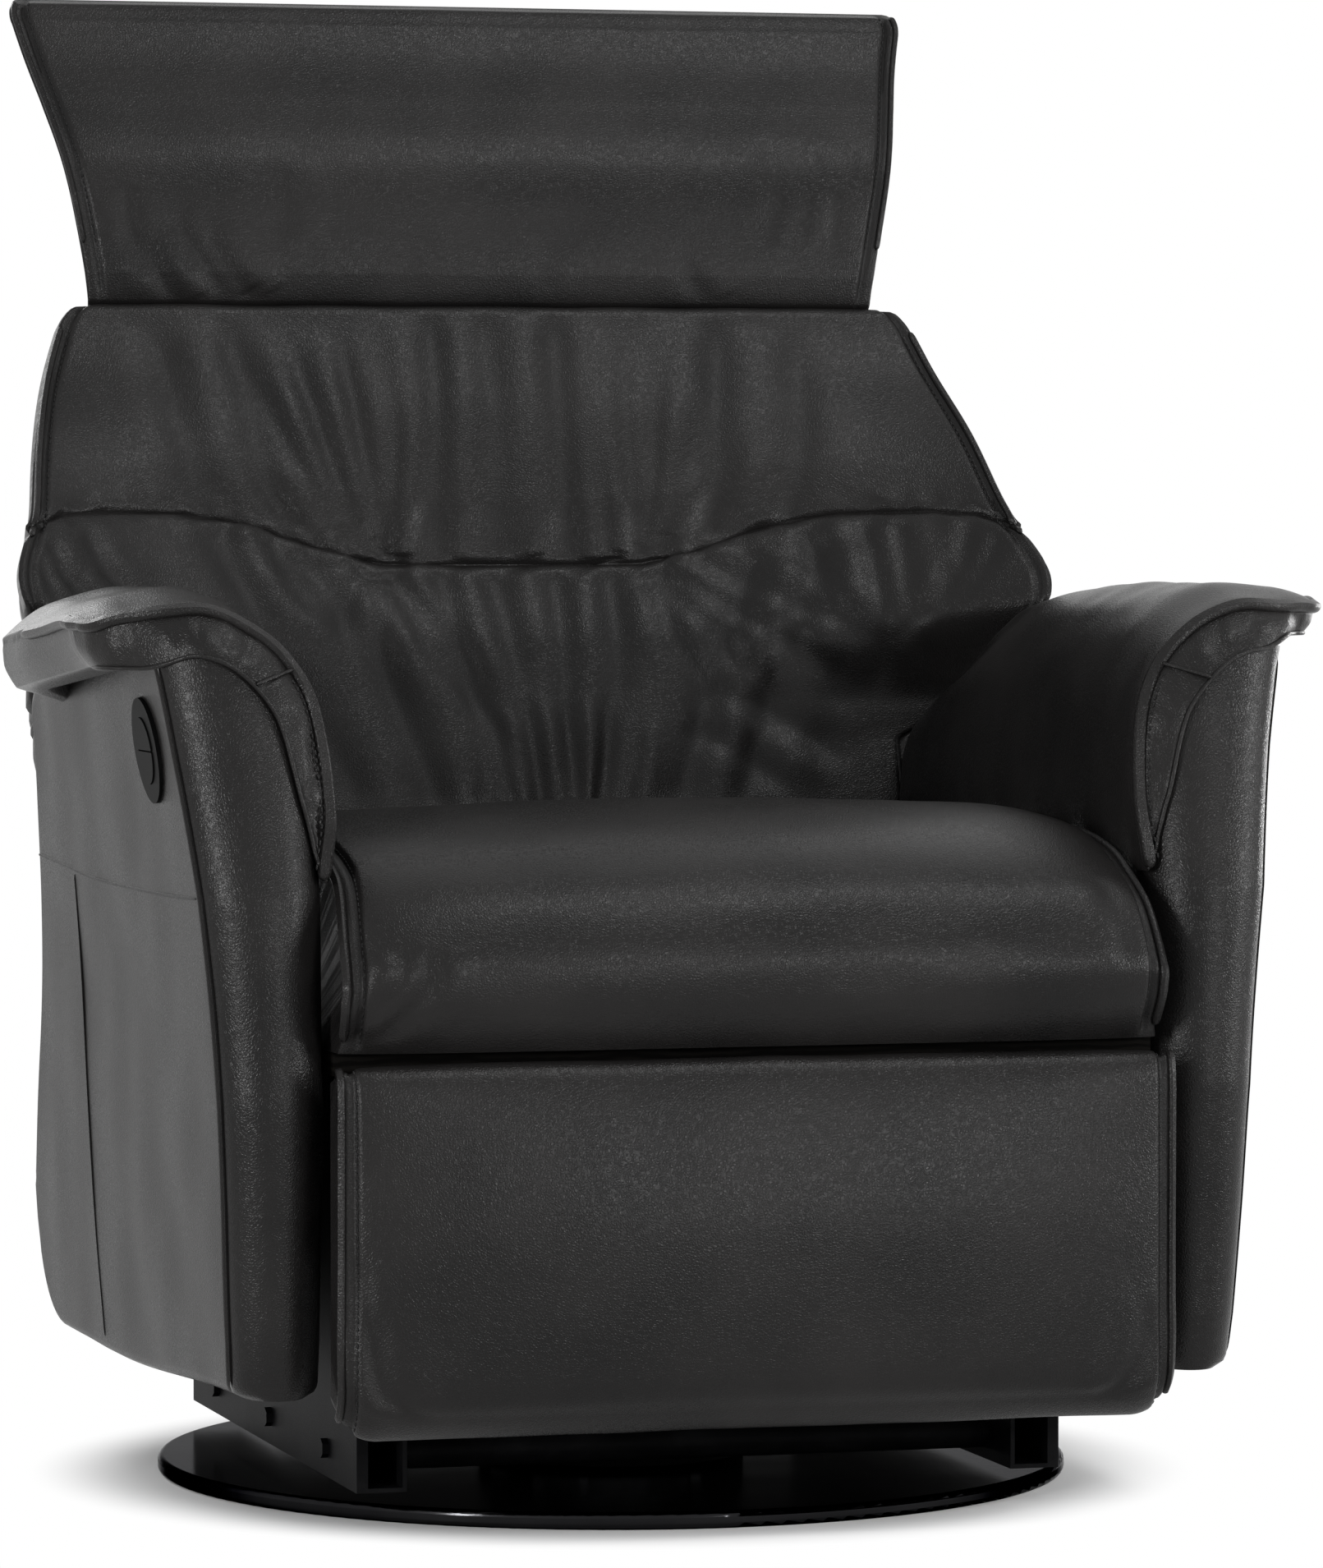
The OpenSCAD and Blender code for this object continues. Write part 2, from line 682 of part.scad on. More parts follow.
// Seat cushion: rings across the chair, each one the crowned top with its front roll, and the flat underside
seat_low = deck_h + soft_gap;
function seat_rear(a) = deck_rear + 4 - 50 * pow(abs(a), 2.5);
function seat_top(a) =
    let (c = seat_crown_h - 9 * a * a - 26 * pow(abs(a), 14))
    let (r = seat_rear(a), f = -seat_front + 14 * pow(abs(a), 10))
    [[r, seat_low + 24], [r + 28, c - 52], [r - 60, c - 28], [-30, c - 8], [-180, c], [-290, c - 12],
        [f + 34, c - 40], [f + 4, c - 82], [f + 2, seat_low + 34], [f + 22, seat_low]];
function seat_x(a, y) = a * (arm_in - 12 + 12 * smooth((-arm_front - 2 - y) / 16) - 3 * (1 - a * a));
module seat_cushion() {
    n = 22;
    color(leather) skin([for (a = span(14))
        let (top = [for (u = steps(n)) spline(seat_top(a), u)], r = seat_rear(a), f = top[n][0] + 3)
        ring([for (p = top) [seat_x(a, p[0]), p[0], p[1]]],
            [for (u = steps(n)) let (y = mix(r - 6, f, u)) [seat_x(a, y), y, seat_low]])]);
}

// Drive under the seat
module drive_rail() {
    color(bright) translate([-drive_w / 2, -drive_len / 2, drive_h - drive_w / 2])
        cube([drive_w, drive_len, drive_w]);
}

// Gear case with the motor that hangs from it, kept above the rails
motor_gap = 6;
module drive_motor() {
    case_l = 46;
    motor_l = drive_h - drive_w - rail_top - motor_gap;
    color(plastic) translate([0, drive_len / 2, drive_h]) {
        translate([-drive_w, 0, -drive_w]) cube([2 * drive_w, case_l, 2 * drive_w]);
        translate([0, case_l / 2, -drive_w - motor_l]) cylinder(d = 1.5 * drive_w, h = motor_l);
    }
}

// Carriage on the drive rail, with a slotted yoke for the footrest's crank and one for the back's lever
module drive_carriage() {
    middle = carriage_travel / 2;
    outer = drive_w + 2 * move_gap + 2 * carriage_wall;
    inner = drive_w + 2 * move_gap;
    crank_z = foot_pivot[1] - crank_len * (1 + cos(link_swing / 2)) / 2;
    lever_z = recline[1] - lever_len * (1 + cos(recline_range / 2)) / 2;
    slot = pin_d + 2 * move_gap;
    tall = pin_d + 8;
    eye_w = slot / 2 + 7;
    eye_h = tall / 2 + 6;
    neck = carriage_len / 2 - 5;
    top = drive_h + outer / 2;
    color(steel) difference() {
        union() {
            translate([-outer / 2, middle - carriage_len / 2, drive_h - outer / 2])
                cube([outer, carriage_len, outer]);
            across(-yoke_t / 2, yoke_t) polygon([[middle - neck, top - 1], [middle + neck, top - 1],
                [lever_pin[0] - eye_w, lever_z - eye_h], [lever_pin[0] + eye_w, lever_z - eye_h],
                [lever_pin[0] + eye_w, lever_z + eye_h], [lever_pin[0] - eye_w, lever_z + eye_h],
                [middle, top + neck], [crank_pin[0] + eye_w, crank_z + eye_h],
                [crank_pin[0] - eye_w, crank_z + eye_h], [crank_pin[0] - eye_w, crank_z - eye_h],
                [crank_pin[0] + eye_w, crank_z - eye_h]]);
        }
        translate([-inner / 2, middle - carriage_len, drive_h - inner / 2])
            cube([inner, 2 * carriage_len, inner]);
        for (p = [[crank_pin[0], crank_z], [lever_pin[0], lever_z]])
            translate([-yoke_t, p[0] - slot / 2, p[1] - tall / 2]) cube([2 * yoke_t, slot, tall]);
    }
}

control_size = [90, 130, 44];
control_at = [-170, -70];
module control_box() {
    color(plastic) translate([control_at[0], control_at[1], deck_z - control_size[2]]) cube(control_size);
}

// Round power socket under the rear panel's lower edge, its mouth to the rear
inlet_size = [40, 28, 30];
inlet_d = 12;
module power_inlet() {
    color(plastic) translate([120, rear_low_y - inlet_size[1], rear_low_z - inlet_size[2]]) difference() {
        cube(inlet_size);
        translate(inlet_size / 2) rotate([-90, 0, 0]) cylinder(d = inlet_d, h = inlet_size[1]);
    }
}

// Torque tube with a crank
module lever_pair(at, pin) {
    both() across(yoke_t / 2 + yoke_gap, lever_t) difference() {
        link_outline(at, pin, pin_d + 10);
        translate(at) circle(d = tube_d);
        translate(pin) circle(d = pin_d);
    }
}

module torque_tube(reach, at) {
    difference() {
        bar(-reach, reach, at, tube_d);
        bar(-reach - 1, reach + 1, at, pivot_d + 2 * run_gap);
    }
}

module footrest_torque_tube() {
    color(steel) {
        torque_tube(lower_link_x, foot_pivot);
        lever_pair(foot_pivot, crank_pin);
        bar(-yoke_t / 2 - yoke_gap - lever_t, yoke_t / 2 + yoke_gap + lever_t, crank_pin, pin_d);
    }
}

// Flat links of the footrest
module lower_links() {
    color(steel) both() across(lower_link_x, link_t) difference() {
        link_outline(foot_pivot, knee, link_w);
        translate(foot_pivot) circle(d = pivot_d + 2 * run_gap);
        translate(knee) circle(d = pin_d + 2 * run_gap);
    }
}

module upper_links() {
    color(steel) both() across(upper_link_x, link_t) difference() {
        link_outline(knee, toe, link_w);
        translate(knee) circle(d = pin_d + 2 * run_gap);
        translate(toe) circle(d = pin_d + 2 * run_gap);
    }
}

module lower_pivot_pins() {
    color(bright) both() bar(lower_link_x - 40, side_x + side_t + 3, foot_pivot, pivot_d);
}

module link_pins() {
    color(bright) both() {
        bar(upper_link_x - plate_gap / 2, lower_link_x + link_t, knee, pin_d);
        bar(lower_link_x + link_t, lower_link_x + link_t + head_t, knee, head_d);
    }
}

module toe_pins() {
    color(bright) both() {
        bar(bracket_x - plate_gap, upper_link_x + link_t, toe, pin_d);
        bar(bracket_x - plate_gap - head_t, bracket_x - plate_gap, toe, head_d);
    }
}

// Footrest brackets: a plate from the toe pivot to the board, with a flange on the board
module footrest_brackets() {
    low = foot_top - 0.6 * foot_len;
    flange_w = 24;
    flange = 4;
    web = 16;
    color(steel) both() difference() {
        union() {
            across(bracket_x, link_t) {
                polygon([toe + [0, link_w / 2], [foot_back, toe[1] + link_w / 2], [foot_back, low],
                    [foot_back + web, low], toe + [web / 2, -link_w / 2]]);
                translate(toe) circle(d = link_w);
            }
            translate([bracket_x - flange_w, foot_back, low])
                cube([flange_w + link_t, flange, toe[1] + link_w / 2 - low]);
        }
        bar(bracket_x - 1, bracket_x + link_t + 1, toe, pin_d + 2 * run_gap);
    }
}

module footrest_board() {
    color(plywood) translate([-foot_x + foot_corner / 2, foot_back - foot_board_t, foot_low + foot_corner / 2])
        cube([2 * foot_x - foot_corner, foot_board_t, foot_len - foot_corner]);
}

// Footrest pad: rings across the chair, each one the bulged front and the flat back
function foot_front(a) =
    let (over = max(0, abs(a) * foot_x - foot_x + foot_corner) / foot_corner)
    let (low = foot_low + foot_corner * quarter(over * 0.98), edge = foot_pad_t * (1 - 0.45 * pow(abs(a), 16)))
    let (b = foot_bulge * (1 - pow(abs(a), 4)), top = foot_top - 3 * pow(abs(a), 12))
    [[pad_back - 1, top - 10], [pad_back - 12, top - 1], [pad_back - edge, top - 14],
        [pad_back - edge - 0.6 * b, top - 60], [pad_back - edge - b, mix(low, top, 0.5)],
        [pad_back - edge - 0.7 * b, low + 40], [pad_back - edge + 2, low + 14],
        [pad_back - 8, low], [pad_back - 1, low + 6]];
module footrest_pad() {
    n = 18;
    color(leather) skin([for (a = span(16))
        let (front = [for (u = steps(n)) spline(foot_front(a), u)])
        ring([for (p = front) [a * foot_x, p[0], p[1]]],
            [for (u = steps(n)) [a * foot_x, pad_back, mix(front[0][1], front[n][1], u)]])]);
}

// Back: steel frame
upright_x = 165;
upright_t = 6;
upright_w = 24;
module back_uprights() {
    color(steel) back_frame() both() across(upright_x - upright_t / 2, upright_t) difference() {
        union() {
            link_outline([0, 0], [frame_t, 70], upright_w);
            link_outline([frame_t, 70], [frame_t, top_band_s - upright_w / 2 - 3], upright_w);
        }
        circle(d = pivot_d + 2 * run_gap);
    }
}

cross_ss = [150, 300, back_len - 28];
module back_cross_tubes() {
    color(steel) back_frame() for (s = cross_ss)
        bar(-upright_x + upright_t / 2, upright_x - upright_t / 2, [frame_t, s], 0.8 * tube_d);
}

module back_torque_tube() {
    color(steel) {
        torque_tube(upright_x - upright_t / 2, recline);
        lever_pair(recline, lever_pin);
        bar(-yoke_t / 2 - yoke_gap - lever_t, yoke_t / 2 + yoke_gap + lever_t, lever_pin, pin_d);
    }
}

module back_pivot_pins() {
    color(bright) both() bar(upright_x - 40, side_x + side_t + 3, recline, pivot_d);
}

// Elastic bands across the back frame, in front of the cross tubes
band_ss = [100, 205, 250, 360, 410];
band_w = 36;
band_t = 2;
module back_webbing() {
    front = frame_t - upright_w / 2;
    color(felt) back_frame() for (s = band_ss)
        translate([-upright_x - upright_t / 2, front - band_t, s])
            cube([2 * upright_x + upright_t, band_t, band_w]);
}

// Half width, forward wrap and front surface of the back at s
ear_s = 262;
function back_half(s) =
    s < ear_s ? mix(back_low_x, ear_x, smooth((s - ear_s + 18) / 26))
        : mix(mix(back_low_x, ear_x, smooth((s - ear_s + 18) / 26)), back_top_x,
            pow(max(0, (s - ear_s) / (back_len - ear_s)), 2.1));
function back_wrap(s) = ear_wrap * smooth((480 - s) / 230) * mix(0.5, 1, smooth((s - 110) / 150));
face_t = -33;
function seam_s(a) = 316 + 14 * smooth((abs(a) - 0.28) / 0.5);
function back_front(a, s) =
    face_t - back_wrap(s) * pow(abs(a), 2.6)
        - 11 * smooth((s - 60) / 120) * smooth((330 - s) / 90) * (1 - a * a)
        - 6 * smooth((s - 330) / 60) * smooth((back_len - s) / 90) * (1 - a * a)
        + seam_depth * max(0, 1 - abs(s - seam_s(a)) / 13)
        + 8 * quarter(1 - (back_len + lip_h - s) / 9) + 22 * quarter(1 - (s - 62) / 26);
// The cushion's front lip rises in front of the headrest's roll
lip_h = 9;
lip_t = 17;
top_band_s = back_len - 14;
band_step = 0.6;
// Rear surface of the cushion at s, and of the band that closes the back's top inside the shell
edge_t = 22;
function cushion_rear(a, s) =
    face_t - back_wrap(s) * pow(abs(a), 2.6) + mix(cushion_t, edge_t, pow(abs(a), 3));
function band_rear(a) = face_t + back_t - shell_t - 2 * soft_gap - 30 * quarter((abs(a) - 0.82) / 0.18);
back_rows = [62, 66, 78, 110, 160, 210, 246, 253, 260, 267, 290, 305, 316, 328, 345, 390, 440, 480,
    top_band_s - 12, top_band_s, top_band_s + band_step, top_band_s + 2 * band_step, back_len,
    back_len + band_step, back_len + 5, back_len + lip_h];
module back_cushion() {
    as = span(20);
    color(leather) back_frame() difference() {
        skin([for (s = back_rows)
            let (inset = s > top_band_s && s <= back_len ? shell_t + 3 * soft_gap : 0)
            let (w = back_half(min(s, back_len)) - inset)
            let (rear = function (a)
                s > back_len ? face_t + lip_t : s > top_band_s + band_step ? band_rear(a) : cushion_rear(a, s))
            ring([for (a = as) [a * w, back_front(a, s), s]], [for (a = as) [a * w, rear(a), s]])]);
        both() translate([post_x - post_t, head_hinge[0] - post_w, top_band_s - 1])
            cube([2 * post_t, 2.6 * post_w, back_len]);
    }
}

// Shell behind the frame: two side walls and a rear wall of even thickness
shell_rows = [78, 110, 160, 210, 246, 253, 260, 267, 290, 316, 345, 390, 440, 480,
    top_band_s, back_len];
function shell_path(s, inset) =
    let (w = back_half(s) - inset, edge = cushion_rear(w / back_half(s), s) + 2 * soft_gap)
    let (rear = face_t + back_t - inset, wrap = back_wrap(s))
    let (side = [for (f = [0, 0.5, 1]) [-w, mix(edge, rear - wrap - 22, f)]])
    let (wall = [for (f = [-0.985, -0.94, -0.86, -0.7, -0.4, 0, 0.4, 0.7, 0.86, 0.94, 0.985])
        [f * w, rear - wrap * pow(abs(f), 6) - 22 * quarter((abs(f) - 0.9) / 0.1)]])
    concat(side, wall, [for (i = [2:-1:0]) [-side[i][0], side[i][1]]]);
module back_shell() {
    color(leather) back_frame() skin([for (s = shell_rows)
        ring([for (p = shell_path(s, shell_t)) [p[0], p[1], s]],
            [for (p = shell_path(s, 0)) [p[0], p[1], s]])]);
}

// Headrest: two posts on the back, a plate with lugs and pins inside the pad
module headrest_posts() {
    color(steel) back_frame() both() across(post_x - post_t / 2, post_t) difference() {
        link_outline([frame_t, back_len - 28], head_hinge, post_w);
        translate([frame_t, back_len - 28]) circle(d = 0.8 * tube_d + 2 * run_gap);
        translate(head_hinge) circle(d = head_pin_d + 2 * run_gap);
    }
}

lug_x = post_x + post_t / 2 + plate_gap;
head_plate_len = 150;
head_plate_x = 200;
head_plate_rise = post_w + 2;
pocket_gap = 6;
module headrest_frame() {
    color(steel) head_frame() difference() {
        union() {
            translate([-head_plate_x, -head_plate_t / 2, head_plate_rise])
                cube([2 * head_plate_x, head_plate_t, head_plate_len]);
            both() across(lug_x, post_t) {
                circle(d = post_w);
                translate([-head_plate_t / 2 - 3, 0]) square([head_plate_t + 6, 60]);
            }
        }
        both() translate([lug_x - 1, 0, 0]) rotate([0, 90, 0])
            cylinder(d = head_pin_d + 2 * run_gap, h = post_t + 2);
    }
}

module headrest_pins() {
    color(bright) head_frame() both()
        bar(post_x - post_t / 2 - plate_gap, lug_x + post_t + 1, [0, 0], head_pin_d);
}

// Headrest pad: front and rear surfaces at height s above the hinge, with a pocket for the frame
head_rows = [-head_roll, -0.94 * head_roll, -0.75 * head_roll, -0.4 * head_roll, 0, 40, 86, 130, 163, 195,
    head_len - 6, head_len];
function head_half(s) =
    mix(head_low_x, head_top_x, pow(max(0, (s + head_roll) / (head_len + head_roll)), 0.72))
    - 14 * quarter(1 - (head_len - s) / 20) - 8 * quarter(1 - (s + head_roll) / 14);
function head_face(s) =
    s < 0 ? head_roll * sqrt(max(0.01, 1 - s * s / head_roll / head_roll))
        : lookup(s, [[0, head_roll], [40, head_bulge - 5], [86, head_bulge], [130, head_bulge - 16],
            [163, head_bulge - 31], [195, head_top_t * 0.62], [head_len - 6, head_top_t * 0.5],
            [head_len, 8]]);
function head_tail(s) =
    s < 0 ? head_face(s)
        : lookup(s, [[0, head_roll], [86, 36], [130, 28], [163, 22], [head_len - 6, head_top_t * 0.4],
            [head_len, 6]]);
module headrest_pad() {
    as = span(18);
    slot_t = 9;
    notch_gap = 3;
    color(leather) head_frame() difference() {
        skin([for (s = head_rows)
            let (w = head_half(s))
            ring([for (a = as) [a * w, -head_face(s) * (1 - 0.5 * pow(abs(a), 9)), s]],
                [for (a = as) [a * w, head_tail(s) * (1 - 0.5 * pow(abs(a), 9)), s]])]);
        translate([-head_plate_x - pocket_gap, -slot_t, head_plate_rise - pocket_gap])
            cube([2 * (head_plate_x + pocket_gap), 2 * slot_t, head_plate_len + 2 * pocket_gap]);
        both() across(post_x - post_t / 2 - notch_gap, lug_x - post_x + 1.5 * post_t + 2 * notch_gap)
            polygon([[post_w * 0.8, 20], [post_w * 0.8, -1.4 * head_roll],
                [-1.16 * head_roll, -1.4 * head_roll], [-post_w * 0.7, 8], [-slot_t, 20]]);
    }
}

// Switch on the outside of the left arm
switch_tilt = atan((arm_out(switch_h + 20) - arm_out(switch_h - 20)) / 40);
module switch_frame() {
    translate([-arm_out(switch_h) - 1, -switch_y, switch_h]) rotate([0, -90 - switch_tilt, 0]) children();
}

floor_t = 1.5;
board_t = 1.2;
module switch_bezel() {
    color(plastic) switch_frame() difference() {
        cylinder(d = bezel_d, h = bezel_t);
        translate([0, 0, floor_t]) cylinder(d = button_d + 2 * move_gap, h = bezel_t);
    }
}

module switch_board() {
    color("darkgreen") switch_frame() translate([0, 0, floor_t]) cylinder(d = button_d - 4, h = board_t);
}

// Half round button, up or down from the split
module half_button(side) {
    rest = floor_t + board_t + button_travel + move_gap;
    color(plastic) switch_frame() translate([0, 0, rest]) intersection() {
        cylinder(d = button_d, h = bezel_t + 1 - rest);
        translate([side > 0 ? move_gap : -button_d, -button_d, 0])
            cube([button_d - move_gap, 2 * button_d, 2 * bezel_t]);
    }
}

module upper_button() {
    half_button(1);
}

module lower_button() {
    half_button(-1);
}

base_disc();
glide_pads();
swivel_post();
flange_bolts();
lower_race();
bearing_balls();
post_washer();
post_nut();
upper_race();
swivel_plate();
left_rail();
right_rail();
front_cross_tube();
rear_cross_tube();
rail_brackets();
left_side_plate();
right_side_plate();
side_plate_bolts();
seat_deck();
left_seat_rail();
right_seat_rail();
arm_bolts();
left_arm_panel();
right_arm_panel();
left_arm_body();
right_arm_body();
left_arm_pad();
right_arm_pad();
rear_panel();
seat_cushion();
drive_rail();
drive_motor();
control_box();
power_inlet();
switch_bezel();
switch_board();
drive_carriage();
footrest_torque_tube();
lower_links();
lower_pivot_pins();
link_pins();
upper_links();
toe_pins();
footrest_brackets();
footrest_board();
footrest_pad();
back_torque_tube();
back_pivot_pins();
back_uprights();
back_cross_tubes();
back_webbing();
back_cushion();
back_shell();
headrest_posts();
headrest_frame();
headrest_pins();
headrest_pad();
upper_button();
lower_button();
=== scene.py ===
import math

import bmesh
import bpy
import numpy as np
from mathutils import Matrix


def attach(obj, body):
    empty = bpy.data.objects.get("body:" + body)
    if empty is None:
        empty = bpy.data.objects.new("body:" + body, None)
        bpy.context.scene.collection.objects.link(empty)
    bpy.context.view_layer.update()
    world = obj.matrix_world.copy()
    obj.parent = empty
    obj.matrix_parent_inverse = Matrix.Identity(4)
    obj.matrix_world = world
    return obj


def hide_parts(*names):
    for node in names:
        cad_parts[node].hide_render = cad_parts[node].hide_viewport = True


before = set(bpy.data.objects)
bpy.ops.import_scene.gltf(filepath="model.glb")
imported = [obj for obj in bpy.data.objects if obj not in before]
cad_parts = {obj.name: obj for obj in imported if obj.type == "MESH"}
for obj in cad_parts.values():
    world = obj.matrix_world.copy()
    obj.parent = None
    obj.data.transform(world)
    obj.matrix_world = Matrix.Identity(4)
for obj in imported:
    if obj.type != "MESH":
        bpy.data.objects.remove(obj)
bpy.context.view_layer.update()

# All shapes are worked out in millimetres in the CAD frame: +Z up, the chair faces -Y.
MM = 0.001


# Curves and surfaces
def smooth(f):
    """Smooth step: 3 f^2 - 2 f^3 with f held between 0 and 1."""
    f = np.clip(f, 0, 1)
    return f * f * (3 - 2 * f)


def quarter(f):
    """Quarter round: 1 minus the root of 1 - f^2, from 0 at f = 0 to 1 at f = 1."""
    f = np.clip(f, 0, 1)
    return 1 - np.sqrt(1 - f * f)


def mix(a, b, f):
    """Straight line from a to b."""
    return a + (b - a) * f


def bell(f):
    """Bell curve: e to the minus f^2."""
    return np.exp(-f * f)


def edged(count):
    """Steps from -1 to 1, closer together near both ends: a straight line mixed with a sine."""
    f = np.linspace(-1, 1, count)
    return 0.45 * f + 0.55 * np.sin(0.5 * np.pi * f)


def cubic(a, b, c, d, f):
    """Smooth step from b to c at f, headed by the points a before them and d after them."""
    return 0.5 * (2 * b + (c - a) * f + (2 * a - 5 * b + 4 * c - d) * f**2 + (3 * b - 3 * c + d - a) * f**3)


def spline(points, u):
    """Smooth curve through points along their first axis, as a cubic with each end point repeated."""
    n = len(points) - 1
    k = np.clip(np.floor(u * n).astype(int), 0, n - 1)
    f = (u * n - k).reshape(u.shape + (1,) * (points.ndim - 1))
    a, b, c, d = points[np.maximum(k - 1, 0)], points[k], points[k + 1], points[np.minimum(k + 2, n)]
    return cubic(a, b, c, d, f)


def unit(v, tiny=1e-9):
    """Vectors along the last axis brought to length 1; tiny keeps a zero vector from being divided by zero."""
    return v / (np.linalg.norm(v, axis=-1, keepdims=True) + tiny)


def normals(grid, out):
    """Unit normals of a grid of points: the cross product of its two directions, turned to face out."""
    n = unit(np.cross(np.gradient(grid, axis=0), np.gradient(grid, axis=1)), 1e-12)
    return n * np.sign((n * np.asarray(out, float)).sum(axis=2).mean())


WAVES, FOLD_LIFT = 22, 0.6


def ripple(x, y, size, seed):
    """Soft unevenness: plane waves of random heading, about one wavelength long, added up to a spread of one."""
    rng = np.random.default_rng(seed)
    turn, phase = rng.uniform(0, 2 * np.pi, (2, WAVES))
    k = 2 * np.pi / (size * rng.uniform(0.6, 1.8, WAVES))
    along = x[..., None] * np.cos(turn) + y[..., None] * np.sin(turn)
    return np.cos(along * k + phase).sum(axis=-1) / math.sqrt(WAVES / 2)


def crease(x, y, path, depth, width, start=0.25, end=0.35):
    """Fold in leather: a bell-shaped valley along a smooth path, with a full shoulder on its left and a lower one
    on its right, dying out over a share of its length at its start and its end. A negative depth makes a ridge."""
    x, y = np.broadcast_arrays(x, y)
    path = np.array(path, float)
    length = np.linalg.norm(np.diff(path, axis=0), axis=1).sum()
    line = spline(path, np.linspace(0, 1, int(length / 1.5) + 12))
    way = unit(np.gradient(line, axis=0))
    out = np.zeros(x.shape)
    reach = 5 * width
    low, high = line.min(axis=0) - reach, line.max(axis=0) + reach
    near = (x > low[0]) & (x < high[0]) & (y > low[1]) & (y < high[1])
    if not near.any():
        return out
    at = np.stack([x[near], y[near]], axis=1)
    gap = at[:, None, :] - line[None]
    k = (gap**2).sum(axis=2).argmin(axis=1)
    gap = at - line[k]
    r = np.linalg.norm(gap, axis=1)
    left = way[k, 0] * gap[:, 1] - way[k, 1] * gap[:, 0] > 0
    t = k / (len(line) - 1)
    ends = smooth(t / start) * smooth((1 - t) / end)
    valley = -bell(r / width) + FOLD_LIFT * np.where(left, 1.0, 0.55) * bell((r - 2.3 * width) / (1.3 * width))
    out[near] = depth * ends * valley
    return out


def creases(x, y, rows):
    """All folds of one piece added up; a row is path, depth, width and how it dies out."""
    return sum(crease(x, y, *row) for row in rows)


def flange(e, width):
    """Flat stitched edge, by the distance e from the piece's edge: a groove at its inner side, the band lying a
    little lower than the stuffed part, and its outer edge rounded off."""
    return -3.2 * bell((e - width) / 2.2) - 1.6 * smooth((width - e) / 2) - 2.5 * quarter(1 - e / 3)


def outline(rows):
    """Control points of an outline, each given as its coordinates at every place along the piece."""
    return np.stack([np.stack(row, axis=-1) for row in rows])


def tilted(x, y, z, turn, at):
    """Points with y to the rear and z up, turned back by an angle and set on a crosswise axis at a place."""
    c, s = math.cos(turn), math.sin(turn)
    return np.stack([x + 0 * y, at[0] + y * c + z * s, at[1] - y * s + z * c], axis=-1)


# Meshes
def quads(count, n, m):
    """Corner numbers of the quads of a grid of n by m points that starts at count."""
    k = count + np.arange(n * m).reshape(n, m)
    return np.stack([k[:-1, :-1], k[1:, :-1], k[1:, 1:], k[:-1, 1:]], axis=2).reshape(-1, 4)


def wall(a, b, rows=2):
    """Strip between two rows of points: straight lines from a to b."""
    return mix(a[None], b[None], np.linspace(0, 1, rows)[:, None, None])


def pillow(front, rear):
    """Closed form from two grids of the same size: both faces, and a strip along each of the four borders."""
    edges = [(front[0], rear[0]), (front[-1], rear[-1]), (front[:, 0], rear[:, 0]), (front[:, -1], rear[:, -1])]
    return [front, rear] + [wall(a, b) for a, b in edges]


def link(name, data):
    """New object of a mesh, lamp or camera, put in the scene."""
    made = bpy.data.objects.new(name, data)
    bpy.context.scene.collection.objects.link(made)
    return made


SHARP, DEEPEST = math.radians(48), 9


def shape(name, grids, finish, dents=()):
    """One closed mesh from grids: their quads with the shared borders merged and the faces turned outwards.
    dents holds how far the first grids were pushed out, kept on the vertices as how deep they lie in a fold, which
    the leather turns into painted shade. finish is one material, or one for each grid."""
    mesh = bpy.data.meshes.new(name)
    points = np.concatenate([g.reshape(-1, 3) for g in grids]) * MM
    starts = np.cumsum([0] + [g.shape[0] * g.shape[1] for g in grids])
    faces = np.concatenate([quads(s, *g.shape[:2]) for s, g in zip(starts, grids)])
    mesh.from_pydata(points.tolist(), [], faces.tolist())
    finishes = finish if isinstance(finish, list) else [finish]
    kinds = list(dict.fromkeys(finishes))
    for kind in kinds:
        mesh.materials.append(kind)
    counts = [(g.shape[0] - 1) * (g.shape[1] - 1) for g in grids]
    kind_of = [kinds.index(finishes[i % len(finishes)]) for i in range(len(grids))]
    mesh.polygons.foreach_set("material_index", np.repeat(kind_of, counts).astype(np.int32))
    painted_shade_depth = np.zeros(len(points), np.float32)
    for s, dent in zip(starts, dents):
        painted_shade_depth[s : s + dent.size] = np.clip(-dent, 0, DEEPEST).ravel()
    # Painted shade: how deep each point lies in a fold, by which the leather darkens its base colour.
    mesh.attributes.new("fold", "FLOAT", "POINT").data.foreach_set("value", painted_shade_depth)
    b = bmesh.new()
    b.from_mesh(mesh)
    bmesh.ops.remove_doubles(b, verts=b.verts, dist=2e-5)
    bmesh.ops.dissolve_degenerate(b, edges=b.edges, dist=1e-6)
    bmesh.ops.recalc_face_normals(b, faces=b.faces)
    b.to_mesh(mesh)
    b.free()
    mesh.polygons.foreach_set("use_smooth", np.ones(len(mesh.polygons), bool))
    mesh.set_sharp_from_angle(angle=SHARP)
    return link(name, mesh)


def dress(made, body, nodes=()):
    """Ties a piece to its body and hides the solids it stands for."""
    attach(made, body)
    if nodes:
        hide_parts(*nodes)


def sample(at, places, rows):
    """Rows of vectors read off in between, at straight steps from one row's place to the next."""
    return np.stack([np.interp(at, places, rows[:, i]) for i in range(3)], axis=1)


def walk(path, pitch):
    """Points, headings and row numbers at even steps along a path of points."""
    run = np.concatenate([[0], np.cumsum(np.linalg.norm(np.diff(path, axis=0), axis=1))])
    at = np.arange(pitch / 2, run[-1], pitch)
    row = np.interp(at, run, np.arange(len(path)))
    way = sample(row, np.arange(len(path)), np.gradient(path, axis=0))
    return sample(at, run, path), unit(way, 0), row


STITCH_PITCH, STITCH_LENGTH, STITCH_THICK = 5.5, 4.2, 0.75


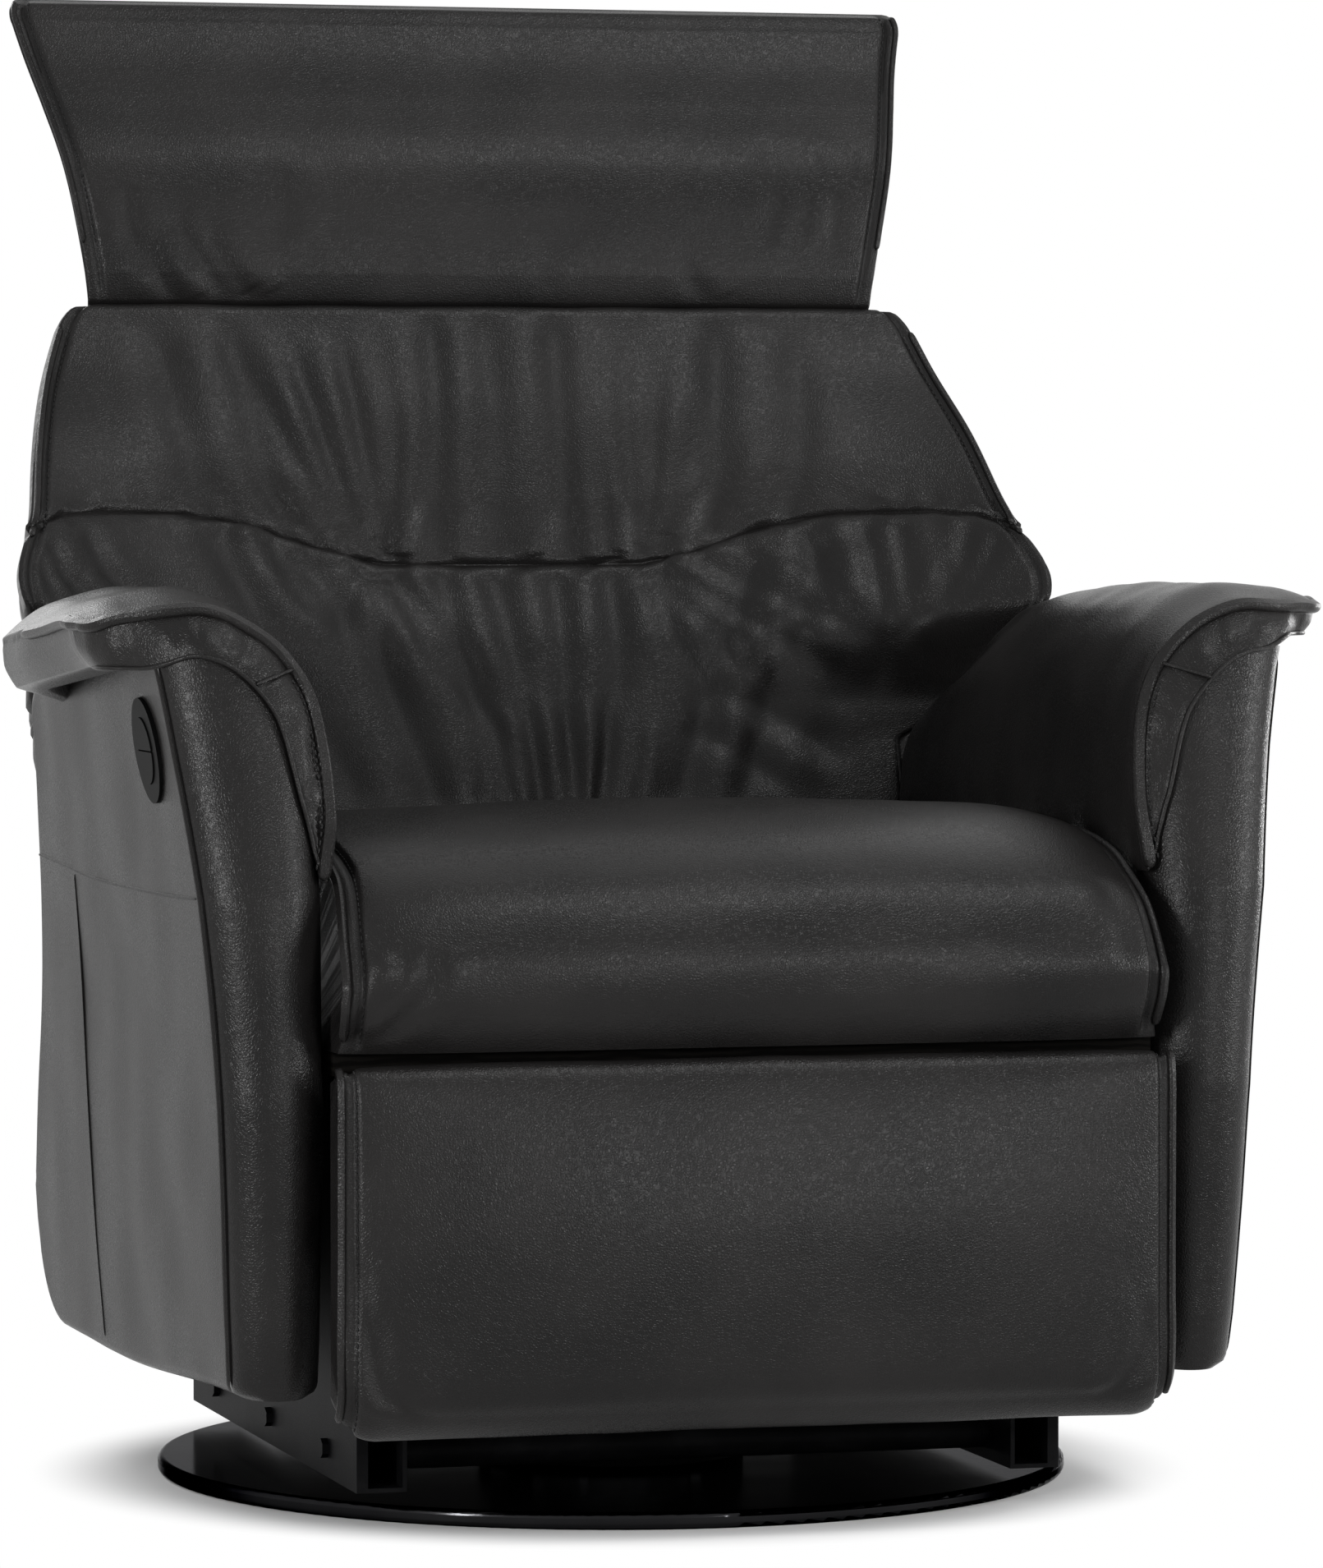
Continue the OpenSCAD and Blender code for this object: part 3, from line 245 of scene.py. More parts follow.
def stitches(name, rows, finish):
    """Rows of thread: a six-sided capsule with pointed ends, repeated at even steps along each path and lying
    flat on the surface whose normals come with the path."""
    turn = np.linspace(0, 2 * np.pi, 6, endpoint=False)
    along = np.array([-0.5, -0.3, 0.3, 0.5]) * STITCH_LENGTH
    swell = np.array([0.25, 1.0, 1.0, 0.25]) * STITCH_THICK
    dip = np.array([-0.9, 0.35, 0.35, -0.9]) * STITCH_THICK
    capsule = np.stack([
        np.repeat(along[:, None], 6, 1),
        swell[:, None] * np.cos(turn),
        dip[:, None] + swell[:, None] * np.sin(turn) * 0.8,
    ], axis=2)
    k = np.arange(24).reshape(4, 6)
    sides = np.stack([k[:-1], np.roll(k, -1, 1)[:-1], np.roll(k, -1, 1)[1:], k[1:]], axis=2).reshape(-1, 4)
    ends = np.array([[5, 4, 3, 2], [5, 2, 1, 0], [18, 19, 20, 21], [18, 21, 22, 23]])
    capsule, faces = capsule.reshape(-1, 3), np.concatenate([sides, ends])
    points = []
    for path, up in rows:
        spot, way, row = walk(path, STITCH_PITCH)
        n = sample(row, np.arange(len(path)), up)
        n = unit(n - (n * way).sum(axis=1, keepdims=True) * way, 0)
        axes = np.stack([way, np.cross(n, way), n], axis=1)
        points.append(spot[:, None, :] + np.einsum("vk,skj->svj", capsule, axes))
    points = np.concatenate(points)
    index = (np.arange(len(points)) * len(capsule))[:, None, None] + faces[None]
    mesh = bpy.data.meshes.new(name)
    mesh.from_pydata((points.reshape(-1, 3) * MM).tolist(), [], index.reshape(-1, 4).tolist())
    mesh.polygons.foreach_set("use_smooth", np.ones(len(mesh.polygons), bool))
    mesh.materials.append(finish)
    return link(name, mesh)


WELT_SIDES, WELT_TAPER = 14, 0.03


def welt(path, up, radius, double=0.0):
    """Piping: a circle carried along a path and drawn to a point at both ends, with up as its top. double pinches
    that top into two ridges."""
    way = unit(np.gradient(path, axis=0))
    n = unit(up - (up * way).sum(axis=1, keepdims=True) * way)
    turn = np.linspace(0, 2 * np.pi, WELT_SIDES + 1)
    run = np.linspace(0, 1, len(path))
    taper = np.sqrt(np.clip(1 - np.clip(1 - np.minimum(run, 1 - run) / WELT_TAPER, 0, 1) ** 2, 0, 1))
    girth = radius * (1 - double * bell((turn - np.pi / 2) / 0.35))
    ring = np.cross(n, way)[:, None, :] * np.cos(turn)[None, :, None] + n[:, None, :] * np.sin(turn)[None, :, None]
    return path[:, None, :] + taper[:, None, None] * girth[None, :, None] * ring


# Finishes
class Value:
    """A shader socket that takes part in Python sums; each operation on it adds a Math node."""

    def __init__(self, board, socket):
        self.board, self.socket = board, socket

    def math(self, operation, a, b):
        return self.board.add("ShaderNodeMath", {"operation": operation}, [a, b])


for sign, operation in (("add", "ADD"), ("sub", "SUBTRACT"), ("mul", "MULTIPLY")):
    setattr(Value, f"__{sign}__", lambda a, b, operation=operation: a.math(operation, a, b))
    setattr(Value, f"__r{sign}__", lambda a, b, operation=operation: a.math(operation, b, a))


class Finish:
    """A material with one Principled surface, and the nodes that feed it."""

    def __init__(self, name):
        self.material = bpy.data.materials.new(name)
        self.material.use_nodes = True
        self.tree = self.material.node_tree
        self.surface = next(n for n in self.tree.nodes if n.type == "BSDF_PRINCIPLED")
        self.output = next(n for n in self.tree.nodes if n.type == "OUTPUT_MATERIAL")

    def add(self, kind, settings=None, sockets=None, out=0):
        """Adds a node, makes its settings, then fills or links its sockets, by name or in order."""
        node = self.tree.nodes.new(kind)
        for key, value in (settings or {}).items():
            setattr(node, key, value)
        pairs = sockets.items() if isinstance(sockets, dict) else enumerate(sockets or [])
        for key, value in pairs:
            self.put(node.inputs[key], value)
        return Value(self, node.outputs[out])

    def put(self, socket, value):
        """Links a value to a socket, or sets the socket to a plain number or colour."""
        if isinstance(value, Value):
            self.tree.links.new(value.socket, socket)
        else:
            socket.default_value = value

    def ramp(self, value, stops):
        """A colour ramp through stops of place and colour."""
        node = self.tree.nodes.new("ShaderNodeValToRGB")
        while len(node.color_ramp.elements) < len(stops):
            node.color_ramp.elements.new(0.5)
        for mark, (place, colour) in zip(node.color_ramp.elements, stops):
            mark.position, mark.color = place, (*colour, 1)
        self.put(node.inputs[0], value)
        return Value(self, node.outputs[0])

    def places(self, stretch=(1, 1, 1)):
        """Object coordinates in metres, stretched along each axis."""
        at = self.add("ShaderNodeTexCoord", out=3)
        return self.add("ShaderNodeMapping", {}, {"Vector": at, "Scale": stretch})

    def noise(self, at, scale, detail=3.0, rough=0.55):
        """Cloudy noise at a place."""
        inputs = {"Vector": at, "Scale": scale, "Detail": detail, "Roughness": rough}
        return self.add("ShaderNodeTexNoise", {}, inputs)

    def wave(self, at, scale, direction):
        """Straight bands at a place."""
        return self.add("ShaderNodeTexWave", {"bands_direction": direction}, {"Vector": at, "Scale": scale})

    def set(self, **values):
        """Sets or links the surface's sockets; an underscore stands for a space."""
        for key, value in values.items():
            self.put(self.surface.inputs[key.replace("_", " ")], value)
        return self

    def tone(self, value, low, high):
        """Makes the base colour run from one colour to another by a value."""
        return self.set(Base_Color=self.ramp(value, between(low, high)))

    def bump(self, height, distance, strength=1.0):
        """Feeds a height into the surface's normal."""
        inputs = {"Strength": strength, "Distance": distance, "Height": height}
        return self.set(Normal=self.add("ShaderNodeBump", {}, inputs))


def between(low, high):
    """Stops of a ramp from one colour to another."""
    return [(0.3, low), (0.7, high)]


LEATHER_DARK, LEATHER_PALE = (0.0022, 0.0021, 0.0021), (0.0045, 0.0042, 0.0041)


def leather_finish(name, tint, ior):
    """Black leather: pebbles about 2 mm across from cell walls, finer pores, a slow change of tone and gloss,
    and painted shade: the base colour darkened, and the surface made duller, by how deep a point lies in a fold or
    groove."""
    f = Finish(name)
    at = f.places()
    warp = f.add("ShaderNodeVectorMath", {"operation": "MULTIPLY_ADD"},
                 [f.add("ShaderNodeTexNoise", {}, {"Vector": at, "Scale": 190.0, "Detail": 1.0}, out=1),
                  (0.003, 0.003, 0.003), at])
    pebble = f.add("ShaderNodeTexVoronoi", {"feature": "DISTANCE_TO_EDGE"}, {"Vector": warp, "Scale": 520.0})
    pebble = f.add("ShaderNodeMapRange", {"interpolation_type": "SMOOTHSTEP"}, [pebble, 0.0, 0.32, 0.0, 1.0])
    pore = f.noise(at, 2600.0, 2.0)
    cloud = f.noise(at, 9.0, 4.0)
    fold = f.add("ShaderNodeAttribute", {"attribute_name": "fold"}, out=2)
    fold = f.add("ShaderNodeMapRange", {}, [fold, 0.0, 5.0, 0.0, 1.0])
    tone = f.ramp(cloud, between(*([c * tint for c in colour] for colour in (LEATHER_DARK, LEATHER_PALE))))
    # Painted shade: the base colour is multiplied towards dark by the fold depth, darkening folds, grooves and
    # recesses.
    painted_fold_shade = f.add("ShaderNodeMix", {"data_type": "RGBA", "blend_type": "MULTIPLY"}, out=2)
    node = painted_fold_shade.socket.node
    f.put(node.inputs[0], fold * 0.55)
    f.put(node.inputs[6], tone)
    node.inputs[7].default_value = (0.25, 0.24, 0.24, 1)
    f.set(Base_Color=painted_fold_shade, Roughness=0.26 - 0.04 * pebble + 0.1 * cloud + 0.16 * fold, IOR=ior)
    return f.bump(pebble * 0.75 + pore * 0.3, 0.0002, 0.75).material


def thread_finish():
    """Black twisted thread: fine slanting bands, a little duller than the leather."""
    f = Finish("thread")
    twist = f.wave(f.places(), 420.0, "DIAGONAL")
    f.set(Base_Color=f.ramp(twist, [(0, (0.004, 0.004, 0.0042)), (1, (0.012, 0.0115, 0.0115))]))
    f.set(Roughness=0.42 + 0.1 * twist, IOR=1.3)
    return f.bump(twist, 0.0003).material


def lacquer_finish():
    """Gloss black lacquer: a dark mirror with a faint orange peel and a few dull wipe marks."""
    f = Finish("lacquer")
    at = f.places()
    peel, wipe = f.noise(at, 160.0, 1.0), f.noise(f.places((3, 14, 3)), 1.0, 5.0)
    f.tone(wipe, (0.012, 0.012, 0.013), (0.022, 0.022, 0.023))
    f.set(Roughness=0.1 + 0.08 * wipe, Metallic=1.0, Specular_Tint=(0.08, 0.08, 0.085, 1))
    return f.bump(peel, 0.00006, 0.5).material


def coated_steel_finish():
    """Black powder coat on steel: fine lumps, with the tone worn a little paler in patches."""
    f = Finish("black_steel")
    at = f.places()
    lumps, wear = f.noise(at, 900.0, 2.0), f.noise(at, 30.0, 5.0, 0.7)
    f.set(Base_Color=f.ramp(wear, [(0.45, (0.0025, 0.0025, 0.0028)), (0.8, (0.008, 0.008, 0.0085))]))
    f.set(Roughness=0.42 + 0.2 * lumps, IOR=1.12)
    return f.bump(lumps, 0.0002, 0.6).material


def bright_steel_finish():
    """Zinc-plated steel: long drawing marks and cloudy plating."""
    f = Finish("bright_steel")
    marks, cloud = f.noise(f.places((900, 30, 900)), 1.0, 2.0), f.noise(f.places(), 70.0, 4.0)
    f.tone(cloud, (0.40, 0.40, 0.41), (0.56, 0.57, 0.58))
    f.set(Roughness=0.24 + 0.16 * marks + 0.06 * cloud, Metallic=1.0)
    return f.bump(marks, 0.00005, 0.5).material


def plywood_finish():
    """Plywood stained black: long growth rings warped by noise, with thin darker pores along the grain."""
    f = Finish("plywood")
    at = f.places((4, 1.2, 9))
    rings = f.add("ShaderNodeTexWave", {"wave_type": "RINGS"},
                  {"Vector": at, "Scale": 6.0, "Distortion": 7.0, "Detail": 3.0})
    pores = f.noise(f.places((420, 14, 420)), 1.0, 2.0)
    f.tone(rings * 0.7 + pores * 0.3, (0.002, 0.0018, 0.0016), (0.005, 0.0045, 0.004))
    f.set(Roughness=0.55 + 0.15 * pores, IOR=1.08)
    return f.bump(pores, 0.0002, 0.4).material


def plastic_finish():
    """Moulded black plastic: fine spark-eroded texture and a slow change of gloss."""
    f, tone = Finish("plastic"), 0.0025
    at = f.places()
    spark, cloud = f.noise(at, 1700.0, 2.0), f.noise(at, 40.0, 3.0)
    f.tone(cloud, (tone,) * 3, (tone * 1.7,) * 3)
    f.set(Roughness=0.36 + 0.16 * spark + 0.06 * cloud, IOR=1.07)
    return f.bump(spark, 0.00006, 0.5).material


def circuit_finish():
    """Circuit board: green mask with paler tracks on a fine grid."""
    f = Finish("circuit_board")
    at = f.places()
    tracks = f.add("ShaderNodeTexBrick", {}, {"Vector": at, "Scale": 160.0, "Mortar Size": 0.06}, out=1)
    f.tone(tracks, (0.01, 0.07, 0.03), (0.03, 0.16, 0.07)).set(Roughness=0.3 + 0.15 * tracks)
    return f.bump(tracks, 0.0001, 0.5).material


def felt_finish():
    """Pressed grey felt: matted fibres at two sizes."""
    f = Finish("felt")
    at = f.places()
    mat, hair = f.noise(at, 260.0, 4.0), f.noise(f.places((1, 6, 1)), 900.0, 2.0)
    f.tone(mat, (0.05, 0.048, 0.045), (0.11, 0.105, 0.10)).set(Roughness=0.9 + 0.08 * hair)
    return f.bump(mat + hair * 0.5, 0.0006, 0.8).material


def webbing_finish():
    """Woven elastic webbing: over-and-under ribs in two directions."""
    f = Finish("webbing")
    warp, weft = f.wave(f.places(), 110.0, "X"), f.wave(f.places(), 150.0, "Z")
    f.tone(warp * weft, (0.02, 0.02, 0.022), (0.07, 0.07, 0.072)).set(Roughness=0.85 - 0.1 * weft)
    return f.bump(warp * weft, 0.0008, 0.8).material


LEATHER = leather_finish("leather", 2.5, 1.257)
# Painted light: a copy of the leather for the arms' outer side panels, with a paler base colour and a weaker
# reflection, set to how the light falls on that side.
SIDE_LEATHER_PAINTED_LIGHT = leather_finish("side_leather_painted_light", 3.5, 1.12)
# Painted shade: a darker, duller copy of the leather for the arms' seam cords, so that they read as shaded grooves.
SEAM_PAINTED_SHADE = leather_finish("seam_leather_painted_shade", 1.25, 1.096)
THREAD = thread_finish()
NODES_BY_FINISH = [
    (lacquer_finish(), ["base_disc"]),
    (coated_steel_finish(), [
        "swivel_post", "swivel_plate", "left_rail", "right_rail", "front_cross_tube", "rear_cross_tube",
        "rail_brackets", "left_side_plate", "right_side_plate", "drive_carriage", "footrest_torque_tube",
        "lower_links", "upper_links", "footrest_brackets", "back_torque_tube", "back_uprights", "back_cross_tubes",
        "headrest_posts", "headrest_frame", "side_plate_bolts",
    ]),
    (bright_steel_finish(), [
        "flange_bolts", "lower_race", "upper_race", "bearing_balls", "post_washer", "post_nut",
        "arm_bolts", "drive_rail", "lower_pivot_pins", "link_pins", "toe_pins", "back_pivot_pins", "headrest_pins",
    ]),
    (plywood_finish(), ["seat_deck", "left_seat_rail", "right_seat_rail", "footrest_board"]),
    (plastic_finish(), [
        "drive_motor", "control_box", "power_inlet", "switch_bezel", "upper_button", "lower_button",
    ]),
    (circuit_finish(), ["switch_board"]),
    (felt_finish(), ["glide_pads"]),
    (webbing_finish(), ["back_webbing"]),
]
for finish, node_names in NODES_BY_FINISH:
    for node_name in node_names:
        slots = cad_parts[node_name].data.materials
        slots.clear()
        slots.append(finish)


# Back: a cushion on a leaning shell, t to the rear and s up the back
LEAN = math.radians(19)
RECLINE_AXIS = (205, 335)
FACE_T, BACK_T = -33.0, 95.0
CUSHION_LOW, CUSHION_TOP = 62, 525
SHELL_LOW, SHELL_TOP, SHELL_SEAM, SHELL_THICK, APRON_SEAM = 30, 516, 0.62, 6, 84


def lean(x, t, s):
    """Places back coordinates in the chair: turned by the lean about the recline axis."""
    return tilted(x, t, s, LEAN, RECLINE_AXIS)


def back_half(s):
    """Half width of the back: narrow between the arms, wide at the ears, narrowing again to the top."""
    ears = mix(mix(272, 297, smooth((s - 100) / 30)), 378, smooth((s - 172) / 34)) + 15 * bell((s - 278) / 42)
    return mix(ears, 330, np.clip((s - 262) / 254, 0, 1) ** 2.1) - 16 * quarter(1 - (CUSHION_TOP - s) / 20)


def back_wrap(s):
    """How far the sides of the back come forward: most at the ears, dying out to the top and behind the arms."""
    return 93 * smooth((480 - s) / 230) * mix(0.24, 1, smooth((s - 200) / 62)) + 14 * bell((s - 420) / 60)


YOKE = np.array([(0, 317), (98, 317), (138, 324), (188, 340), (222, 347), (254, 350), (290, 348), (324, 345),
                 (352, 338), (380, 318)], float)


def yoke(a):
    """Height of the yoke seam: level in the middle, kinked, rising to the sides and falling again on the ears."""
    return np.interp(np.abs(a) * 375, YOKE[:, 0], YOKE[:, 1])


def back_front(a, s):
    """Front of the back cushion: wrapped sides, a bulge under and one above the yoke, pinched in at the seam and
    rounded at the bottom and the top."""
    b = np.abs(a) * back_half(s) / back_half(np.maximum(s, 290))
    wrap = -back_wrap(s) * b**2.6
    lower = -9 * smooth((s - 60) / 120) * smooth((yoke(a) - s) / 70) * (1 - a * a)
    upper = -8 * smooth((s - yoke(a)) / 50) * smooth((SHELL_TOP - s) / 90) * (1 - a * a)
    seam = 5 * np.exp(-np.abs(s - yoke(a)) / 3.5)
    return (FACE_T + wrap + lower + upper + seam
            + 8 * quarter(1 - (CUSHION_TOP - s) / 9) + 22 * quarter(1 - (s - CUSHION_LOW) / 26))


SEAM_END = (0.03, 0.6)
BACK_FOLDS = [
    # fan of pleats above the left kink of the yoke
    ([(-101, 320), (-109, 396), (-118, 476), (-121, 507)], 4.6, 7, *SEAM_END),
    ([(-111, 322), (-132, 382), (-154, 469), (-159, 503)], 4.8, 8, *SEAM_END),
    ([(-126, 325), (-153, 375), (-183, 448), (-199, 489)], 3.8, 8, *SEAM_END),
    ([(-97, 319), (-87, 396), (-81, 462)], 3.4, 7, *SEAM_END),
    ([(-77, 318), (-64, 370), (-54, 436)], 2.4, 7, *SEAM_END),
    ([(-148, 331), (-185, 368), (-227, 407)], 2.2, 7, *SEAM_END),
    # upright pleats above the right kink
    ([(96, 320), (96, 396), (103, 505)], 4.8, 7, *SEAM_END),
    ([(103, 321), (115, 396), (121, 484)], 4.4, 8, *SEAM_END),
    ([(114, 324), (136, 382), (157, 456)], 3.0, 8, *SEAM_END),
    ([(79, 318), (73, 370), (78, 423)], 3.0, 7, *SEAM_END),
    ([(139, 326), (168, 375), (185, 422)], 2.0, 8, *SEAM_END),
    ([(12, 318), (21, 396), (23, 477)], 1.6, 13),
    ([(-30, 318), (-22, 380), (-20, 440)], 1.2, 10),
    ([(50, 318), (46, 370), (52, 430)], 1.2, 10),
    # long folds that fall from the left kink
    ([(-98, 310), (-74, 252), (-29, 194), (-7, 138)], 5.0, 9, 0.05, 0.3),
    ([(-93, 311), (-50, 246), (7, 174)], 3.8, 8, 0.05, 0.4),
    ([(-108, 309), (-108, 245), (-92, 188)], 4.0, 9, 0.05, 0.5),
    ([(-116, 314), (-138, 264), (-134, 213)], 3.4, 8, 0.05, 0.5),
    ([(-187, 333), (-173, 291), (-137, 258)], 2.8, 8, 0.05, 0.5),
    ([(-225, 342), (-215, 300), (-190, 262)], 2.4, 9, 0.05, 0.5),
    # deep upright pleats above the seat
    ([(-2, 212), (3, 168), (5, 118)], 4.6, 6, 0.4, 0.1),
    ([(29, 210), (32, 167), (33, 116)], 5.0, 6, 0.4, 0.1),
    ([(58, 216), (58, 174), (46, 116)], 4.6, 6, 0.4, 0.1),
    ([(-28, 204), (-25, 162), (-14, 118)], 3.4, 6, 0.4, 0.1),
    ([(84, 200), (78, 160), (66, 118)], 2.8, 6, 0.4, 0.1),
    # folds that fall from the right kink towards the arm
    ([(100, 309), (122, 244), (148, 185)], 4.2, 9, 0.05, 0.4),
    ([(106, 309), (154, 249), (200, 196)], 4.4, 9, 0.05, 0.4),
    ([(113, 313), (186, 260), (250, 212)], 4.6, 9, 0.05, 0.4),
    ([(142, 317), (217, 272), (282, 241)], 3.8, 9, 0.05, 0.4),
    ([(139, 217), (198, 190), (247, 150)], 4.2, 10, 0.3, 0.3),
    ([(120, 190), (170, 158), (220, 118)], 3.6, 9, 0.3, 0.3),
    ([(271, 342), (275, 253), (272, 204)], 3.6, 8, 0.1, 0.4),
    ([(295, 340), (294, 264), (290, 238)], 3.2, 7, 0.1, 0.4),
    ([(227, 342), (237, 284), (264, 236)], 3.2, 9, 0.1, 0.4),
    # long slack folds of the upper panel
    ([(-235, 345), (-252, 430), (-262, 512)], 3.6, 13, 0.1, 0.25),
    ([(-172, 335), (-192, 420), (-207, 515)], 4.6, 12, 0.08, 0.2),
    ([(-58, 318), (-51, 410), (-46, 520)], 5.0, 11, 0.08, 0.15),
    ([(-14, 318), (-8, 410), (-6, 520)], 3.4, 13, 0.1, 0.15),
    ([(42, 318), (44, 410), (50, 520)], 4.6, 11, 0.08, 0.15),
    ([(152, 330), (166, 420), (180, 515)], 4.6, 12, 0.08, 0.2),
    ([(214, 340), (232, 420), (240, 505)], 3.6, 13, 0.1, 0.25),
    # long slack folds of the lower panel, drawn in towards the seat
    ([(-240, 340), (-190, 240), (-130, 118)], 4.6, 13, 0.1, 0.15),
    ([(-172, 325), (-112, 230), (-72, 116)], 5.4, 12, 0.08, 0.12),
    ([(-60, 312), (-42, 220), (-32, 112)], 5.0, 10, 0.08, 0.12),
    ([(-18, 312), (-6, 220), (-3, 112)], 4.4, 11, 0.1, 0.12),
    ([(32, 312), (30, 220), (20, 112)], 4.8, 10, 0.08, 0.12),
    ([(76, 312), (70, 220), (52, 112)], 5.2, 11, 0.08, 0.12),
    ([(190, 325), (150, 230), (110, 118)], 5.2, 12, 0.08, 0.12),
    ([(240, 335), (202, 240), (160, 120)], 4.8, 12, 0.1, 0.15),
    # wrinkled ears
    ([(366, 322), (350, 291), (323, 262)], 3.0, 6),
    ([(347, 333), (334, 293), (311, 258)], 3.4, 7),
    ([(330, 300), (312, 272), (290, 250)], 2.6, 6),
    ([(-365, 319), (-357, 285), (-334, 258)], 3.2, 6),
    ([(-336, 332), (-322, 296), (-293, 270)], 3.4, 7),
    ([(-375, 305), (-372, 281), (-360, 255)], 2.6, 5),
    ([(-350, 290), (-335, 268), (-310, 252)], 2.6, 6),
]


def back_cushion():
    """Grid over the width a and the height: rows crowd at the yoke seam, and folds push along the normals."""
    a = edged(230)[:, None]
    v = np.linspace(-1, 1, 190)[None]
    seam = yoke(a)
    below = seam - (seam - CUSHION_LOW) * np.clip(-v, 0, 1) ** 1.25
    s = np.where(v < 0, below, seam + (CUSHION_TOP - seam) * np.clip(v, 0, 1) ** 1.25)
    x = a * back_half(s)
    front = lean(x, back_front(a, s), s)
    e = (1 - np.abs(a)) * back_half(s)
    dent = flange(e, 9) + 0.55 * creases(x, s, BACK_FOLDS) + 0.25 * ripple(x, s, 90, 3)
    dent = dent + 0.6 * bell((s - seam) / 16) * ripple(x, s, 26, 4) * smooth((np.abs(s - seam) - 1) / 6)
    front = front + dent[..., None] * normals(front, (0, -1, 0.3))
    rear = lean(x, back_front(a, s) + mix(58, 21, np.abs(a) ** 3), s)
    dress(shape("back_cushion_cover", pillow(front, rear), LEATHER, [dent]), "back", ["back_cushion"])
    return front


def shell_rear(f, s):
    """Rear of the outer back: nearly flat, following the wrap and rounded off at the sides."""
    b = np.abs(f)
    return FACE_T + BACK_T - back_wrap(s) * b**6 - 34 * quarter((b - 0.86) / 0.14)


def back_shell():
    """Outer back: side wall, rear and side wall as one bent sheet, 6 mm thick, with two upright seams and an apron
    below a cross seam."""
    s = np.linspace(SHELL_LOW, SHELL_TOP, 130)[None]
    f = np.concatenate([-np.ones(14), edged(110), np.ones(14)])[:, None]
    w = back_half(s) - 9
    edge = mix(FACE_T - back_wrap(s) + 23, FACE_T + BACK_T - 40, smooth((92 - s) / 12))
    climb = np.linspace(0, 1, 14, endpoint=False)
    along = np.concatenate([climb, np.ones(110), climb[::-1]])[:, None]
    t = mix(edge + 0 * f, shell_rear(f, s), along)
    t = np.where(np.abs(f) < 1, shell_rear(f, s), t)
    x = f * w
    outer = lean(x, t, s)
    n = normals(outer, (0, 1, 0.2))
    seams = -2.2 * bell((np.abs(x) - SHELL_SEAM * w) / 2.2) + bell((np.abs(x) - SHELL_SEAM * w - 7) / 4)
    puff = 3.0 * smooth((w - np.abs(x)) / 60) * smooth((s - SHELL_LOW) / 60) * smooth((SHELL_TOP - s) / 60)
    dent = (seams + puff) * (np.abs(f) < 1) + 0.4 * ripple(x, s, 120, 8)
    dent = dent - 3 * quarter(1 - (s - SHELL_LOW) / 8) - 2.4 * bell((s - APRON_SEAM) / 2.4)
    inner = outer - SHELL_THICK * n
    outer = outer + dent[..., None] * n
    dress(shape("back_shell_cover", pillow(outer, inner), LEATHER, [dent]), "back", ["back_shell"])


# Headrest: y to the rear and z up, about its hinge
TILT = math.radians(12)
HINGE = (404.99, 860.52)
HEAD_LOW, HEAD_TOP = -43, 215


def nod(x, y, z):
    """Places headrest coordinates in the chair: turned by the headrest's lean about its hinge."""
    return tilted(x, y, z, TILT, HINGE)


def head_half(s):
    """Half width of the headrest: wider to the top along a hollow side, with rounded corners."""
    f = np.clip((s - HEAD_LOW) / (HEAD_TOP - HEAD_LOW), 0, 1)
    return mix(306, 357, f**1.2) - 14 * quarter(1 - (HEAD_TOP - s) / 20) - 8 * quarter(1 - (s - HEAD_LOW) / 14)


def head_side(s, rows):
    """Depth from a short table of height and depth, as a smooth curve through its rows."""
    table = np.array(rows, float)
    u = np.interp(s, table[:, 0], np.linspace(0, 1, len(table)))
    return spline(table, u.ravel())[:, 1].reshape(s.shape)


HEAD_FACE = [(-43, 4), (-39, 28), (-28, 45), (-8, 54), (24, 60), (60, 64), (90, 60), (130, 45), (163, 31), (195, 23),
             (209, 18), (215, 8)]
HEAD_TAIL = [(-43, 4), (-38, 20), (-25, 35), (0, 43), (40, 41), (86, 36), (130, 28), (163, 22), (209, 13.6), (215, 6)]
HEAD_FOLDS = [
    # pulled folds at the lower left, and soft upright ones at the right
    ([(-247, 35), (-226, 5), (-200, -32)], 3.6, 8, 0.4, 0.05),
    ([(-225, 42), (-207, 5), (-181, -32)], 3.0, 8, 0.4, 0.05),
    ([(-266, 23), (-254, -8), (-240, -34)], 2.8, 7, 0.4, 0.05),
    ([(-280, 60), (-276, 20), (-262, -20)], 2.0, 7),
    ([(225, 104), (231, 59), (223, 10)], 2.4, 9),
    ([(247, 104), (254, 60), (246, 8)], 2.4, 8),
    ([(270, 98), (276, 53), (273, 0)], 2.0, 7),
    ([(-167, 78), (-159, 42), (-163, 8)], 1.3, 10),
    ([(150, 20), (160, -8), (175, -32)], 1.8, 8, 0.4, 0.05),
    ([(40, 10), (44, -12), (40, -34)], 1.2, 8, 0.4, 0.05),
]


